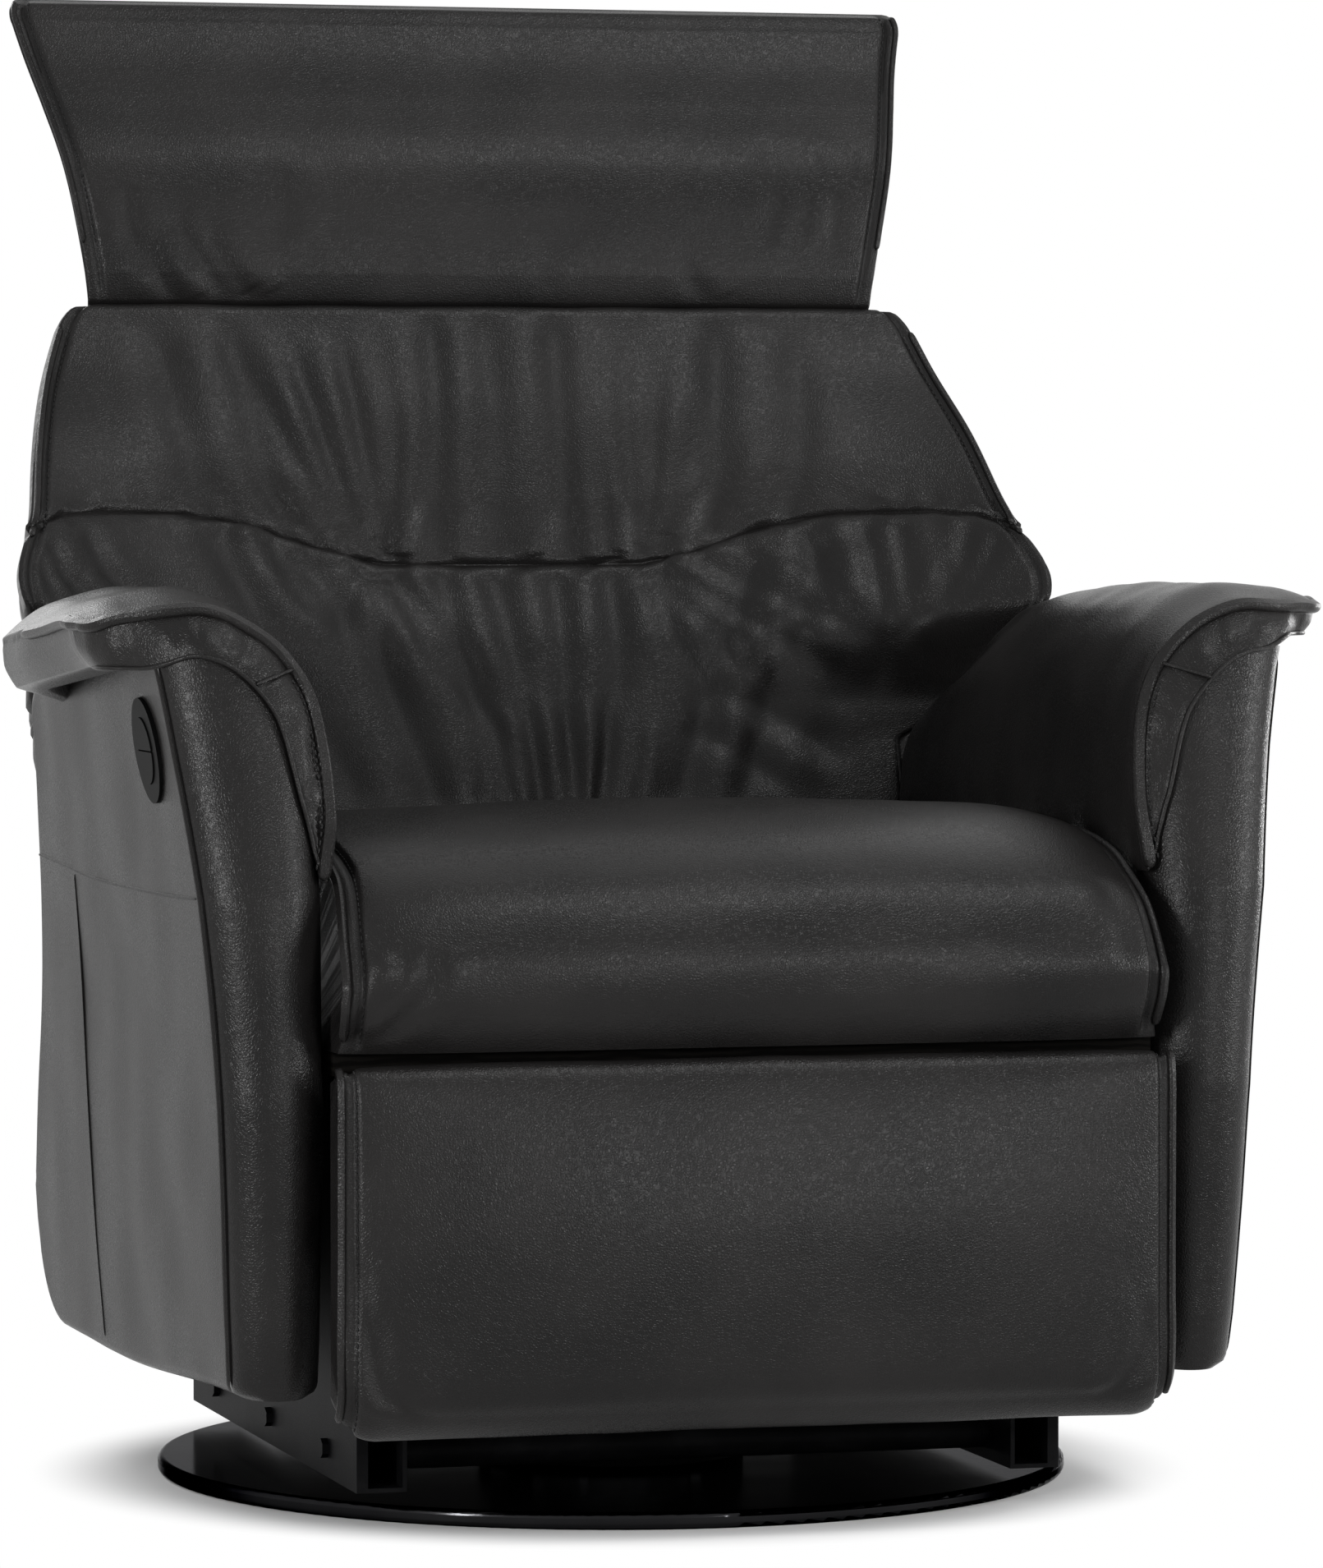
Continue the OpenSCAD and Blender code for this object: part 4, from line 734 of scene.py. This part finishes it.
def headrest_pad():
    """Grid over the width a and the height: a stuffed roll below and a thinner top leaning back, with a flat
    stitched edge on both sides and the rear set in behind it."""
    a = edged(210)[:, None]
    v = np.linspace(0, 1, 150)[None]
    s = mix(HEAD_LOW, HEAD_TOP, 0.5 - 0.5 * np.cos(np.pi * v)) * 0.5 + mix(HEAD_LOW, HEAD_TOP, v) * 0.5
    b = np.abs(a)
    w = head_half(s)
    x = a * w
    face = head_side(s, HEAD_FACE) * (1 - 0.06 * b**10)
    front = nod(x, -face, s)
    e = (1 - b) * w
    dent = flange(e, 11) + 0.6 * creases(x, s, HEAD_FOLDS) + 0.2 * ripple(x, s, 90, 13)
    n = normals(front, (0, -1, 0))
    tuck = smooth((s - HEAD_LOW) / 30) * smooth((HEAD_TOP - s) / 8)
    front = front + (dent * tuck)[..., None] * n
    tail = head_side(s, HEAD_TAIL) * (1 - 0.5 * b**9)
    rear = nod(a * (w - 9 * tuck), mix(tail, -face + 6, smooth((b - 0.93) / 0.07)), s)
    made = shape("headrest_cover", pillow(front, rear), LEATHER, [dent * tuck])
    dress(made, "headrest", ["headrest_pad"])
    return front


# Seat
SEAT_LOW, SEAT_RUN = 329.5, 900
SEAT_FOLDS = [
    # two curved folds at the lower left of the front roll, and faint pulls at the right
    ([(-232, 690), (-236, 770), (-262, 880)], 3.4, 9),
    ([(-246, 680), (-253, 760), (-274, 850)], 2.8, 7),
    ([(248, 600), (252, 665), (256, 760)], 1.6, 8),
    ([(-120, 300), (-20, 330), (110, 310)], 1.4, 26),
]


def seat_profile(a):
    """Side outline of the seat at the place a across: up the rear, over a crowned top and round the front roll."""
    b = np.abs(a)
    r = 164 - 50 * b**2.5
    c = 486 - 8 * a * a - 14 * b**14
    f = -392 + 14 * b**10
    low = SEAT_LOW + 0 * a
    rows = [(r, low + 24), (r + 28, c - 52), (r - 60, c - 28), (-30 + 0 * a, c - 8), (-180 + 0 * a, c),
            (-290 + 0 * a, c - 12), (f + 34, c - 40), (f + 4, c - 82), (f + 2, low + 34), (f + 22, low)]
    return outline(rows)


def seat_cushion():
    """Grid over the width a and the profile's run u: folds are laid out by the width and the run in mm."""
    a = edged(200)
    u = np.linspace(0, 1, 200)
    yz = spline(seat_profile(a), u).transpose(1, 0, 2)
    y, z = yz[..., 0], yz[..., 1]
    b = np.abs(a)[:, None]
    half = 281 + 6 * smooth((-318 - y) / 60) - 3 * (1 - b * b)
    x = a[:, None] * half
    top = np.stack([x, y, z], axis=-1)
    run = SEAT_RUN * u[None] + 0 * x
    e = (1 - b) * half
    dent = 1.5 * flange(e, 12) + creases(x, run, SEAT_FOLDS) + 0.2 * ripple(x, run, 120, 21)
    n = normals(top, (0, -0.5, 1))
    hold = smooth(u / 0.05) * smooth((1 - u) / 0.05)
    top = top + (dent * hold[None])[..., None] * n
    base = np.stack([x, mix(y[:, :1] - 6, y[:, -1:] + 3, u[None]), SEAT_LOW + 0 * x], axis=-1)
    dress(shape("seat_cover", pillow(top, base), LEATHER, [dent]), "chassis", ["seat_cushion"])
    return top


# Footrest
PAD_BACK, FOOT_HALF, FOOT_RUN = -362.5, 292, 340
FOOT_FOLDS = [
    # faint pulls to the lower corners
    ([(-268, 185), (-258, 215), (-234, 255)], 2.0, 8),
    ([(-279, 170), (-271, 200), (-260, 235)], 1.6, 6),
    ([(272, 190), (259, 220), (232, 258)], 2.0, 8),
]


def foot_profile(a):
    """Side outline of the footrest pad at the place a across: over its top edge, down a bulged face and under."""
    b = np.abs(a)
    low = 74 + 30 * quarter(0.97 * np.clip(b * FOOT_HALF - 262, 0, None) / 30)
    edge = 25 * (1 - 0.3 * b**16)
    bulge = 17 * (1 - a**4)
    top = 324 - 3 * b**12
    p = PAD_BACK
    rows = [(p - 1 + 0 * a, top - 10), (p - 12 + 0 * a, top - 1), (p - edge, top - 14),
            (p - edge - 0.6 * bulge, top - 60), (p - edge - bulge, (top + low) / 2),
            (p - edge - 0.7 * bulge, low + 40), (p - edge + 2, low + 14),
            (p - 8 + 0 * a, low), (p - 1 + 0 * a, low + 6)]
    return outline(rows)


def footrest_pad():
    """Grid over the width a and the profile's run u, with a flat stitched edge on both sides."""
    a = edged(190)
    u = np.linspace(0, 1, 140)
    yz = spline(foot_profile(a), u).transpose(1, 0, 2)
    x = a[:, None] * FOOT_HALF + 0 * yz[..., 0]
    face = np.stack([x, yz[..., 0], yz[..., 1]], axis=-1)
    e = (1 - np.abs(a))[:, None] * FOOT_HALF
    run = FOOT_RUN * u[None] + 0 * x
    dent = flange(e, 11) + creases(x, run, FOOT_FOLDS) + 0.2 * ripple(x, run, 110, 31)
    hold = smooth(u / 0.08) * smooth((1 - u) / 0.08)
    face = face + (dent * hold[None])[..., None] * normals(face, (0, -1, 0))
    back = np.stack([x, PAD_BACK + 0 * x, mix(yz[:, :1, 1], yz[:, -1:, 1], u[None])], axis=-1)
    dress(shape("footrest_cover", pillow(face, back), LEATHER, [dent]), "footrest", ["footrest_pad"])
    return face


# Arms, worked out for the right arm and mirrored for the left
PAD_TIP, ARM_IN, ARM_FRONT, ARM_REAR, PAD_REAR = 441.0, 287.0, -336.0, 332.0, 210.0
PAD_DROP, PAD_RUN, PAD_LENGTH = 183, 470, 480
SWITCH_Y, SWITCH_Z = -228, 527
LIP_RISE, LIP_WALL = {1: 9.0, -1: 0.0}, {1: 23.0, -1: 33.0}
BODY_IN, BODY_IN_REAR = 288, 303
SIDE_WORDS = {1: "right", -1: "left"}


def arm_crown(y):
    """Height of the arm: level at the front, falling ever faster to the rear."""
    return 624 + 11 * smooth((y + 305) / 75) * smooth((150 - y) / 160) - 71 * np.clip((y + 250) / 460, 0, None) ** 4


def arm_slant(y):
    """Height of the straight rear edge behind the arm pad."""
    return arm_crown(np.array(176.0)) - 30 - 2.24 * (y - 176)


def arm_out(z):
    """Reach of the arm's outer face: leaning outwards, and more so near the top."""
    q = (z - 90) / 500
    return 344 + 52 * (0.68 * q + 0.32 * q**4) + 5 * smooth((380 - z) / 240)


def body_low(y):
    """Underside of the arm: a little lower to the rear, where it is rounded up."""
    return 99 - 18 * smooth((y + 336) / 440) + 66 * quarter((y - 266) / 66)


def pad_control(y):
    """Control points of the over-arm pad's cross line at y: lip, crown, and the inner leg down to its tip."""
    c = arm_crown(y)
    k = (c - PAD_TIP) / PAD_DROP
    reach = mix(439 + 8 * smooth((y + 220) / 150), 384, smooth((y + 25) / 110))
    droop = smooth((y + 270) / 250)
    o = 0 * y
    rows = [(reach, c - 18 - 16 * droop), (mix(reach, ARM_IN, 0.19), c - 5 - 6 * droop),
            (mix(reach, ARM_IN, 0.49), c), (322 + o, c - 19 * k), (290 + o, c - 62 * k),
            (281 + o, mix(c, PAD_TIP, 0.72)), (285.5 + o, PAD_TIP + o)]
    return outline(rows)


def pad_front(u):
    """Front edge of the pad in plan: set back at the lip and coming forward down the inner leg."""
    lip = -272 + 28 * quarter(1 - u / 0.1)
    return lip - 30 * smooth(u / 0.3) - 8 * smooth((u - 0.35) / 0.3) - 24 * smooth((u - 0.6) / 0.4)


def pad_thick(u):
    """Thickness of the pad: fuller over the crown and drawn to a thin tip at the foot of the inner leg."""
    return 1.2 + mix(28, 32, smooth(u / 0.2)) * (1 - np.clip((u - 0.55) / 0.45, 0, 1) ** 2.2)


def pad_curve(y, u):
    """Point of the pad's outer surface as x and z, for arrays of y and u: the smooth curve through its controls."""
    rows, k = pad_control(y), u * 6
    j = np.clip(np.floor(k).astype(int), 0, 5)
    f = (k - j)[..., None]
    a, b, c, d = (np.take_along_axis(rows, np.clip(j + i, 0, 6)[None, ..., None], 0)[0] for i in (-1, 0, 1, 2))
    return cubic(a, b, c, d, f)


FRONT_BOW = np.array([(90, -342), (136, -350), (295, -362), (430, -356), (526, -334), (600, -322)], float)
INNER_ROUND, OUTER_ROUND = 40.0, 34.0


def front_bow(z):
    """Where the front roll stands at the height z, from a short table."""
    return np.interp(z, FRONT_BOW[:, 0], FRONT_BOW[:, 1])


def front_round(f):
    """How far the front roll falls back at f across it: a quarter round at each side and a slight crown."""
    return (INNER_ROUND * quarter(1 - 76 * f / INNER_ROUND) + 24 * quarter(1 - 76 * (1 - f) / OUTER_ROUND)
            + 3 * (1 - np.sin(np.pi * np.clip(f, 0, 1))))


def arm_pad(side):
    """Grid over the run v from front to rear and u across: a sheet carried along the arm, thickened inwards. A
    facing band leans from its front edge forward to the roll, and the lip's end is a bulged wall."""
    u = np.linspace(0, 1, 140)[None]
    v = np.linspace(0, 1, 120)[:, None] ** 1.35
    y = mix(pad_front(u), PAD_REAR, v)
    u = u + 0 * y
    xz = pad_curve(y, u)
    outer = np.stack([xz[..., 0], y, xz[..., 1] + LIP_RISE[side] * smooth((0.3 - u) / 0.3)], axis=-1)
    n = normals(outer, (0, 0, 1))
    run, length = PAD_RUN * u, PAD_LENGTH
    dent = 0.35 * ripple(run, y, 80, 41 + side)
    dent = dent - 4 * np.maximum(quarter(1 - run / 9), quarter(1 - v * length / 20))
    dent = dent - 7 * quarter(1 - (1 - v) * length / 14)
    under = outer - pad_thick(u)[..., None] * n
    hang = np.stack([outer[..., 0] - 11 * (1 - u / 0.3), y, outer[:, :1, 2] - LIP_WALL[side] + 0 * u], axis=-1)
    under = mix(hang, under, smooth((u - 0.16) / 0.14)[..., None])
    outer = outer + dent[..., None] * n
    word, turn = SIDE_WORDS[side], np.array([side, 1, 1])
    t = np.linspace(0, 1, 9)[:, None]
    across = np.clip((under[0, :, 0] - BODY_IN) / (arm_out(under[0, :, 2]) - BODY_IN), 0.05, 0.85)
    foot = front_bow(under[0, :, 2]) + front_round(across) - 3
    under[0, :, 1] = mix(under[0, :, 1], np.minimum(under[0, :, 1], foot), smooth((u[0] - 0.12) / 0.2))
    band = mix(outer[0][None], under[0][None], t[..., None])
    full = smooth((1 - u[0]) / 0.3)
    arch = np.sin(np.pi * t)
    puff = 3.4 * arch**0.7 * full + 0.7 * ripple(run[0] + 0 * t, 40 * t, 34, 47 + side) * arch
    aside, ahead = np.array([0.95, -0.2, 0.1]), np.array([0, -0.86, 0.5])
    band = band + puff[..., None] * mix(aside, ahead, smooth(u[0] / 0.1)[:, None])
    lip = wall(outer[:, 0], under[:, 0], 9) + puff[:, :1, None] * aside
    grids = [outer, under, band, lip, wall(outer[-1], under[-1]), wall(outer[:, -1], under[:, -1])]
    made = shape(f"{word}_arm_pad_cover", [g * turn for g in grids], LEATHER, [dent])
    dress(made, "chassis", [f"{word}_arm_pad"])
    path = np.concatenate([outer[52:0:-1, 0], outer[0]])
    bend = smooth((np.arange(len(path)) - 46) / 26)[:, None]
    rise = mix(np.array([0.6, -0.3, 0.7]), np.array([0, -0.5, 0.86]), bend)
    edge = welt(path + 1.2 * rise, rise, 4.8, double=0.3)
    seam = welt(under[0] + np.array([0, -1.0, 0]), np.array([0, -1.0, 0.2]), 1.6)
    mitre = mix(outer[0, 83], under[0, 77], np.linspace(0, 1, 20)[:, None]) + np.array([0, -3.6, 1.6])
    cross = welt(mitre, np.array([0, -1.0, 0.4]), 1.3)
    dress(shape(f"{word}_arm_pad_welts", [g * turn for g in (edge, seam, cross)], LEATHER), "chassis")
    leg = slice(84, 136)
    down = under[0, leg] - outer[0, leg]
    path = outer[0, leg] + np.array([0, -2.5, 0]) + 6.0 * down / (np.linalg.norm(down, axis=1, keepdims=True) + 1e-9)
    up = 0 * path + np.array([0, -1.0, 0.15])
    dress(stitches(f"{word}_arm_pad_stitches", [(path * turn, up * turn)], THREAD), "chassis")


def roof_drop():
    """How far below the crown the pad's underside lies at f across the arm, read off the pad's own curve."""
    u = np.linspace(0, 1, 120)
    at = pad_curve(0 * u - 300, u)
    way = np.gradient(at, axis=0)
    n = unit(np.stack([way[:, 1], -way[:, 0]], axis=1), 0)
    low = at - pad_thick(u)[:, None] * n
    f = np.linspace(0, 1, 60)
    order = np.argsort(low[:, 0])
    return f, arm_crown(np.array(-300.0)) - np.interp(mix(289, 398, f), low[order, 0], low[order, 1])


ROOF_F, ROOF_DROP = roof_drop()


def body_roof(f, y):
    """Top of the arm's body: just inside the pad's underside, then along the slanted rear edge."""
    under = arm_crown(y) - (np.interp(f, ROOF_F, ROOF_DROP) - 5) * np.clip((arm_crown(y) - PAD_TIP) / PAD_DROP, 0, 1)
    return np.maximum(np.minimum(under, arm_slant(y) - 3 * (2 * f - 1) ** 2), body_low(y) + 4)


def body_point(f, w, v):
    """Point of the arm's body: f from the inner to the outer face, w from the front to the rear, v from the
    underside to the top. The front bows out with the height, and edges along the top and bottom are rounded."""
    y = mix(ARM_FRONT + front_round(f), ARM_REAR, w)
    low, roof = body_low(y), body_roof(f, y)
    z = mix(low, roof, v)
    soft = 9 * (quarter(1 - (roof - z) / 9) * smooth((y - 140) / 30) + quarter(1 - (z - low) / 9))
    inner = mix(BODY_IN_REAR, BODY_IN, smooth((-240 - y) / 40)) + soft
    switch = np.hypot(y - SWITCH_Y, z - SWITCH_Z) / 60
    outer = arm_out(z) - soft + 1.5 * np.sin(np.pi * w) - 0.5 * bell(switch) * smooth((f - 0.5) / 0.5)
    bow = front_bow(z) - ARM_FRONT
    return np.stack([mix(inner, outer, f), y + bow * smooth((-180 - y) / 120), z], axis=-1)


SIDE_SEAMS = [
    [(222, 434), (130, 431), (10, 427), (-200, 428), (-318, 431)],
    [(89, 427), (104, 286), (92, 93)],
]


def arm_body(side):
    """Upholstered arm: one wall that runs along the inner face, round the front roll and along the outer face,
    closed by a roof and a floor over the same parameters."""
    w = np.concatenate([[0, 0.004, 0.008, 0.012, 0.016], np.linspace(0.022, 0.75, 76), np.linspace(0.76, 1, 34)])
    fs = 0.5 + 0.5 * edged(56)
    loop_f = np.concatenate([0 * w, fs[1:], 1 + 0 * w[1:], fs[::-1][1:]])
    loop_w = np.concatenate([w[::-1], 0 * fs[1:], w[1:], 1 + 0 * fs[1:]])
    v = np.linspace(0, 1, 120)[:, None]
    walls = body_point(loop_f[None], loop_w[None], v)
    n = unit(np.cross(np.gradient(walls, axis=0), np.gradient(walls, axis=1)), 1e-12)
    n = n * np.sign(((walls - walls.mean(axis=(0, 1))) * n).sum(axis=2).mean())
    corner = len(w) + len(fs) - 2
    y, z = walls[..., 1], walls[..., 2]
    outside = loop_f[None] == 1
    start = walls[:, corner, 1][:, None]
    dent = -3.0 * bell((y - start - 3) / 2.5) * outside + 0.25 * ripple(y + walls[..., 0], z, 120, 51 + side)
    hold = smooth(v / 0.03) * smooth((1 - v) / 0.03)
    if side < 0:
        dent = dent - 9 * smooth((32 - np.hypot(y - SWITCH_Y, z - SWITCH_Z)) / 4) * outside
    walls = walls + (dent * hold)[..., None] * n
    roof = body_point(fs[None], w[:, None], 1.0)
    floor = body_point(fs[None], w[:, None], 0.0)
    word, turn = SIDE_WORDS[side], np.array([side, 1, 1])
    parts = [slice(0, corner + 1), slice(corner, len(loop_f))]
    grids = [walls[:, k] for k in parts] + [roof, floor]
    # The outer side walls take the copy of the leather with painted light.
    finishes, dents = [LEATHER, SIDE_LEATHER_PAINTED_LIGHT, LEATHER, LEATHER], [dent[:, k] for k in parts]
    made = shape(f"{word}_arm_cover", [g * turn for g in grids], finishes, dents)
    dress(made, "chassis", [f"{word}_arm_body", f"{word}_arm_panel"])
    # The corner and side seam cords are drawn with the darker leather copy that paints the shade of a groove.
    cords = [welt(walls[2:118, corner - 1], n[2:118, corner - 1], 1.3)]
    for path in SIDE_SEAMS:
        line = spline(np.array(path, float), np.linspace(0, 1, 160))
        share = np.clip((line[:, 0] - ARM_FRONT) / (ARM_REAR - ARM_FRONT), 0, 1)
        x = arm_out(line[:, 1]) + 1.5 * np.sin(np.pi * share) + 0.2
        on = np.stack([x, line[:, 0], line[:, 1]], axis=1)
        cords.append(welt(on - np.array([0.5, 0, 0]), np.array([1.0, 0, 0.1]), 1.2))
    dress(shape(f"{word}_arm_seams", [g * turn for g in cords], SEAM_PAINTED_SHADE), "chassis")


# Studio: camera, white surroundings, floor and lamps. Camera lengths are in pixels of the photograph.
PHOTO_HIGH, FOCAL, SHIFT, SENSOR = 1909, 8801, 61.86, 36.0
CAMERA_YAW, CAMERA_PITCH, CAMERA_FAR, CAMERA_HIGH = math.radians(15.5), math.radians(2.369), 5.1706, 0.7041
FLOOR_HALF, SHADOW_NEAR, SHADOW_FAR, DIM = 12.0, 0.33, 0.42, 0.35
# name, place, aim, size and power
LAMPS = [
    ("key_box", (0.95, -1.4, 3.3), (0, 0, 0.6), (1.4, 0.42), 32),
    ("front_box", (1.05, -3.3, 0.82), (0.1, -0.4, 0.36), (0.8, 0.32), 26),
    ("left_box", (-2.4, -1.8, 0.8), (-0.1, -0.2, 0.45), (0.24, 0.9), 46),
    ("right_box", (2.4, -1.35, 0.8), (0.2, -0.2, 0.45), (0.25, 0.9), 30),
    ("rear_box", (-1.2, 3.0, 2.0), (0, 0.2, 0.6), (1.6, 1.0), 24),
    ("rear_side_box", (2.6, 1.6, 1.0), (0, 0.2, 0.6), (0.4, 1.4), 30),
]


def place_camera():
    """Camera where the photograph was taken from, with the Standard view transform."""
    scene = bpy.context.scene
    scene.view_settings.view_transform = "Standard"
    lens = bpy.data.cameras.new("camera")
    lens.sensor_fit, lens.sensor_width = "AUTO", SENSOR
    lens.lens = FOCAL / PHOTO_HIGH * SENSOR
    lens.shift_x = SHIFT / PHOTO_HIGH
    lens.clip_end = 60
    camera = link("camera", lens)
    camera.location = (-CAMERA_FAR * math.sin(CAMERA_YAW), -CAMERA_FAR * math.cos(CAMERA_YAW), CAMERA_HIGH)
    camera.rotation_euler = (math.pi / 2 - CAMERA_PITCH, 0, -CAMERA_YAW)
    scene.camera = camera


def surround():
    """White surroundings: full white to camera, glossy and transmitted rays, and dimmer as a light."""
    world = bpy.data.worlds.new("studio")
    bpy.context.scene.world = world
    world.use_nodes = True
    tree = world.node_tree
    tree.nodes.clear()
    rays = tree.nodes.new("ShaderNodeLightPath")
    seen, more = (tree.nodes.new("ShaderNodeMath") for _ in range(2))
    for total in (seen, more):
        total.operation, total.use_clamp = "ADD", True
    dim, white = (tree.nodes.new("ShaderNodeBackground") for _ in range(2))
    for light, strength in ((dim, DIM), (white, 1.0)):
        light.inputs["Color"].default_value = (1, 1, 1, 1)
        light.inputs["Strength"].default_value = strength
    both, end = tree.nodes.new("ShaderNodeMixShader"), tree.nodes.new("ShaderNodeOutputWorld")
    for source, target in [
        (rays.outputs["Is Camera Ray"], seen.inputs[0]), (rays.outputs["Is Transmission Ray"], seen.inputs[1]),
        (seen.outputs[0], more.inputs[0]), (rays.outputs["Is Glossy Ray"], more.inputs[1]),
        (more.outputs[0], both.inputs[0]), (dim.outputs[0], both.inputs[1]), (white.outputs[0], both.inputs[2]),
        (both.outputs[0], end.inputs[0]),
    ]:
        tree.links.new(source, target)


def lay_floor():
    """Floor that takes the shadow close to the base and is plain white beyond it."""
    f = Finish("white_floor")
    at = f.add("ShaderNodeTexCoord", out=3)
    far_off = f.add("ShaderNodeVectorMath", {"operation": "LENGTH"}, [at], out=1)
    fade = f.add("ShaderNodeMapRange", {"interpolation_type": "SMOOTHSTEP"},
                 [far_off, SHADOW_NEAR, SHADOW_FAR, 0.0, 1.0])
    f.set(Base_Color=(0.93, 0.93, 0.93, 1), Roughness=0.7, Specular_IOR_Level=0.2)
    glow = f.tree.nodes.new("ShaderNodeEmission")
    glow.inputs["Strength"].default_value = 1.0
    path = f.tree.nodes.new("ShaderNodeLightPath")
    seen = Value(f, path.outputs["Is Camera Ray"]) + Value(f, path.outputs["Is Glossy Ray"])
    seen = seen + Value(f, path.outputs["Is Transmission Ray"])
    blend = f.tree.nodes.new("ShaderNodeMixShader")
    f.put(blend.inputs[0], f.add("ShaderNodeMath", {"operation": "MULTIPLY", "use_clamp": True}, [seen, fade]))
    f.tree.links.new(f.surface.outputs[0], blend.inputs[1])
    f.tree.links.new(glow.outputs[0], blend.inputs[2])
    f.tree.links.new(blend.outputs[0], f.output.inputs[0])
    floor_mesh = bpy.data.meshes.new("floor")
    corners = [(-FLOOR_HALF, -FLOOR_HALF, 0), (FLOOR_HALF, -FLOOR_HALF, 0), (FLOOR_HALF, FLOOR_HALF, 0),
               (-FLOOR_HALF, FLOOR_HALF, 0)]
    floor_mesh.from_pydata(corners, [], [(0, 1, 2, 3)])
    floor_mesh.materials.append(f.material)
    floor = link("floor", floor_mesh)


def hang_lamps():
    """Oblong soft lamps, above, in front, at both sides and behind, each facing a point."""
    for name, place, aim, size, power in LAMPS:
        lamp = bpy.data.lights.new(name, "AREA")
        lamp.shape, lamp.size, lamp.size_y, lamp.energy = "RECTANGLE", size[0], size[1], power
        made = link(name, lamp)
        made.location = place
        way = np.array(aim, float) - np.array(place, float)
        flat = math.hypot(way[0], way[1])
        made.rotation_euler = (math.atan2(flat, -way[2]), 0, math.atan2(-way[0], way[1]))


# Rear panel
PANEL_HALF, PANEL_LOW, PANEL_TOP, PANEL_THICK = 302, 94, 300, 21
PANEL_FOOT_Y, PANEL_TOP_Y, PANEL_SEAM = 312, 260, 262


def rear_panel():
    """Padded lower rear panel: a leaning board between the arms, crowned to the rear, with a seam across it."""
    a = edged(120)[:, None]
    v = 0.5 + 0.5 * edged(60)[None]
    x = PANEL_HALF * a + 0 * v
    z = mix(PANEL_LOW, PANEL_TOP, v) + 0 * a
    y = mix(PANEL_FOOT_Y, PANEL_TOP_Y, v) + 0 * a
    e = np.minimum(PANEL_HALF * (1 - np.abs(a)), (PANEL_TOP - PANEL_LOW) * np.minimum(v, 1 - v))
    dent = 5 * smooth(e / 40) - 6 * quarter(1 - e / 7) - 2.2 * bell((z - PANEL_SEAM) / 2.4)
    dent = dent + 0.4 * ripple(x, z, 110, 61)
    n = np.array([0, 0.97, 0.245])
    outer = np.stack([x, y, z], axis=-1) + dent[..., None] * n
    inner = np.stack([x, y - PANEL_THICK, z], axis=-1)
    dress(shape("rear_panel_cover", pillow(outer, inner), LEATHER, [dent]), "chassis", ["rear_panel"])


def sewn_edges(word, body, front, inset, rows, radius):
    """Piping along a piece's side edges and a row of stitches beside it, inset points in from the grid's edge."""
    n = normals(front, (0, -1, 0.3))
    cords = [welt(front[k, rows] + 0.3 * radius * n[k, rows], n[k, rows], radius, double=0.3) for k in (2, -3)]
    dress(shape(f"{word}_piping", cords, LEATHER), body)
    dress(stitches(f"{word}_stitches", [(front[k, rows], n[k, rows]) for k in (inset, -1 - inset)], THREAD), body)


# Build. The slice says which points of a grid's side edge are piped and stitched.
place_camera()
surround()
lay_floor()
hang_lamps()
sewn_edges("back", "back", back_cushion(), 7, slice(88, 182), 2.6)
back_shell()
rear_panel()
sewn_edges("headrest", "headrest", headrest_pad(), 8, slice(40, 146), 2.2)
sewn_edges("seat", "chassis", seat_cushion(), 9, slice(70, 194), 3.4)
sewn_edges("footrest", "footrest", footrest_pad(), 8, slice(14, 128), 2.8)
for side in (1, -1):
    arm_pad(side)
    arm_body(side)
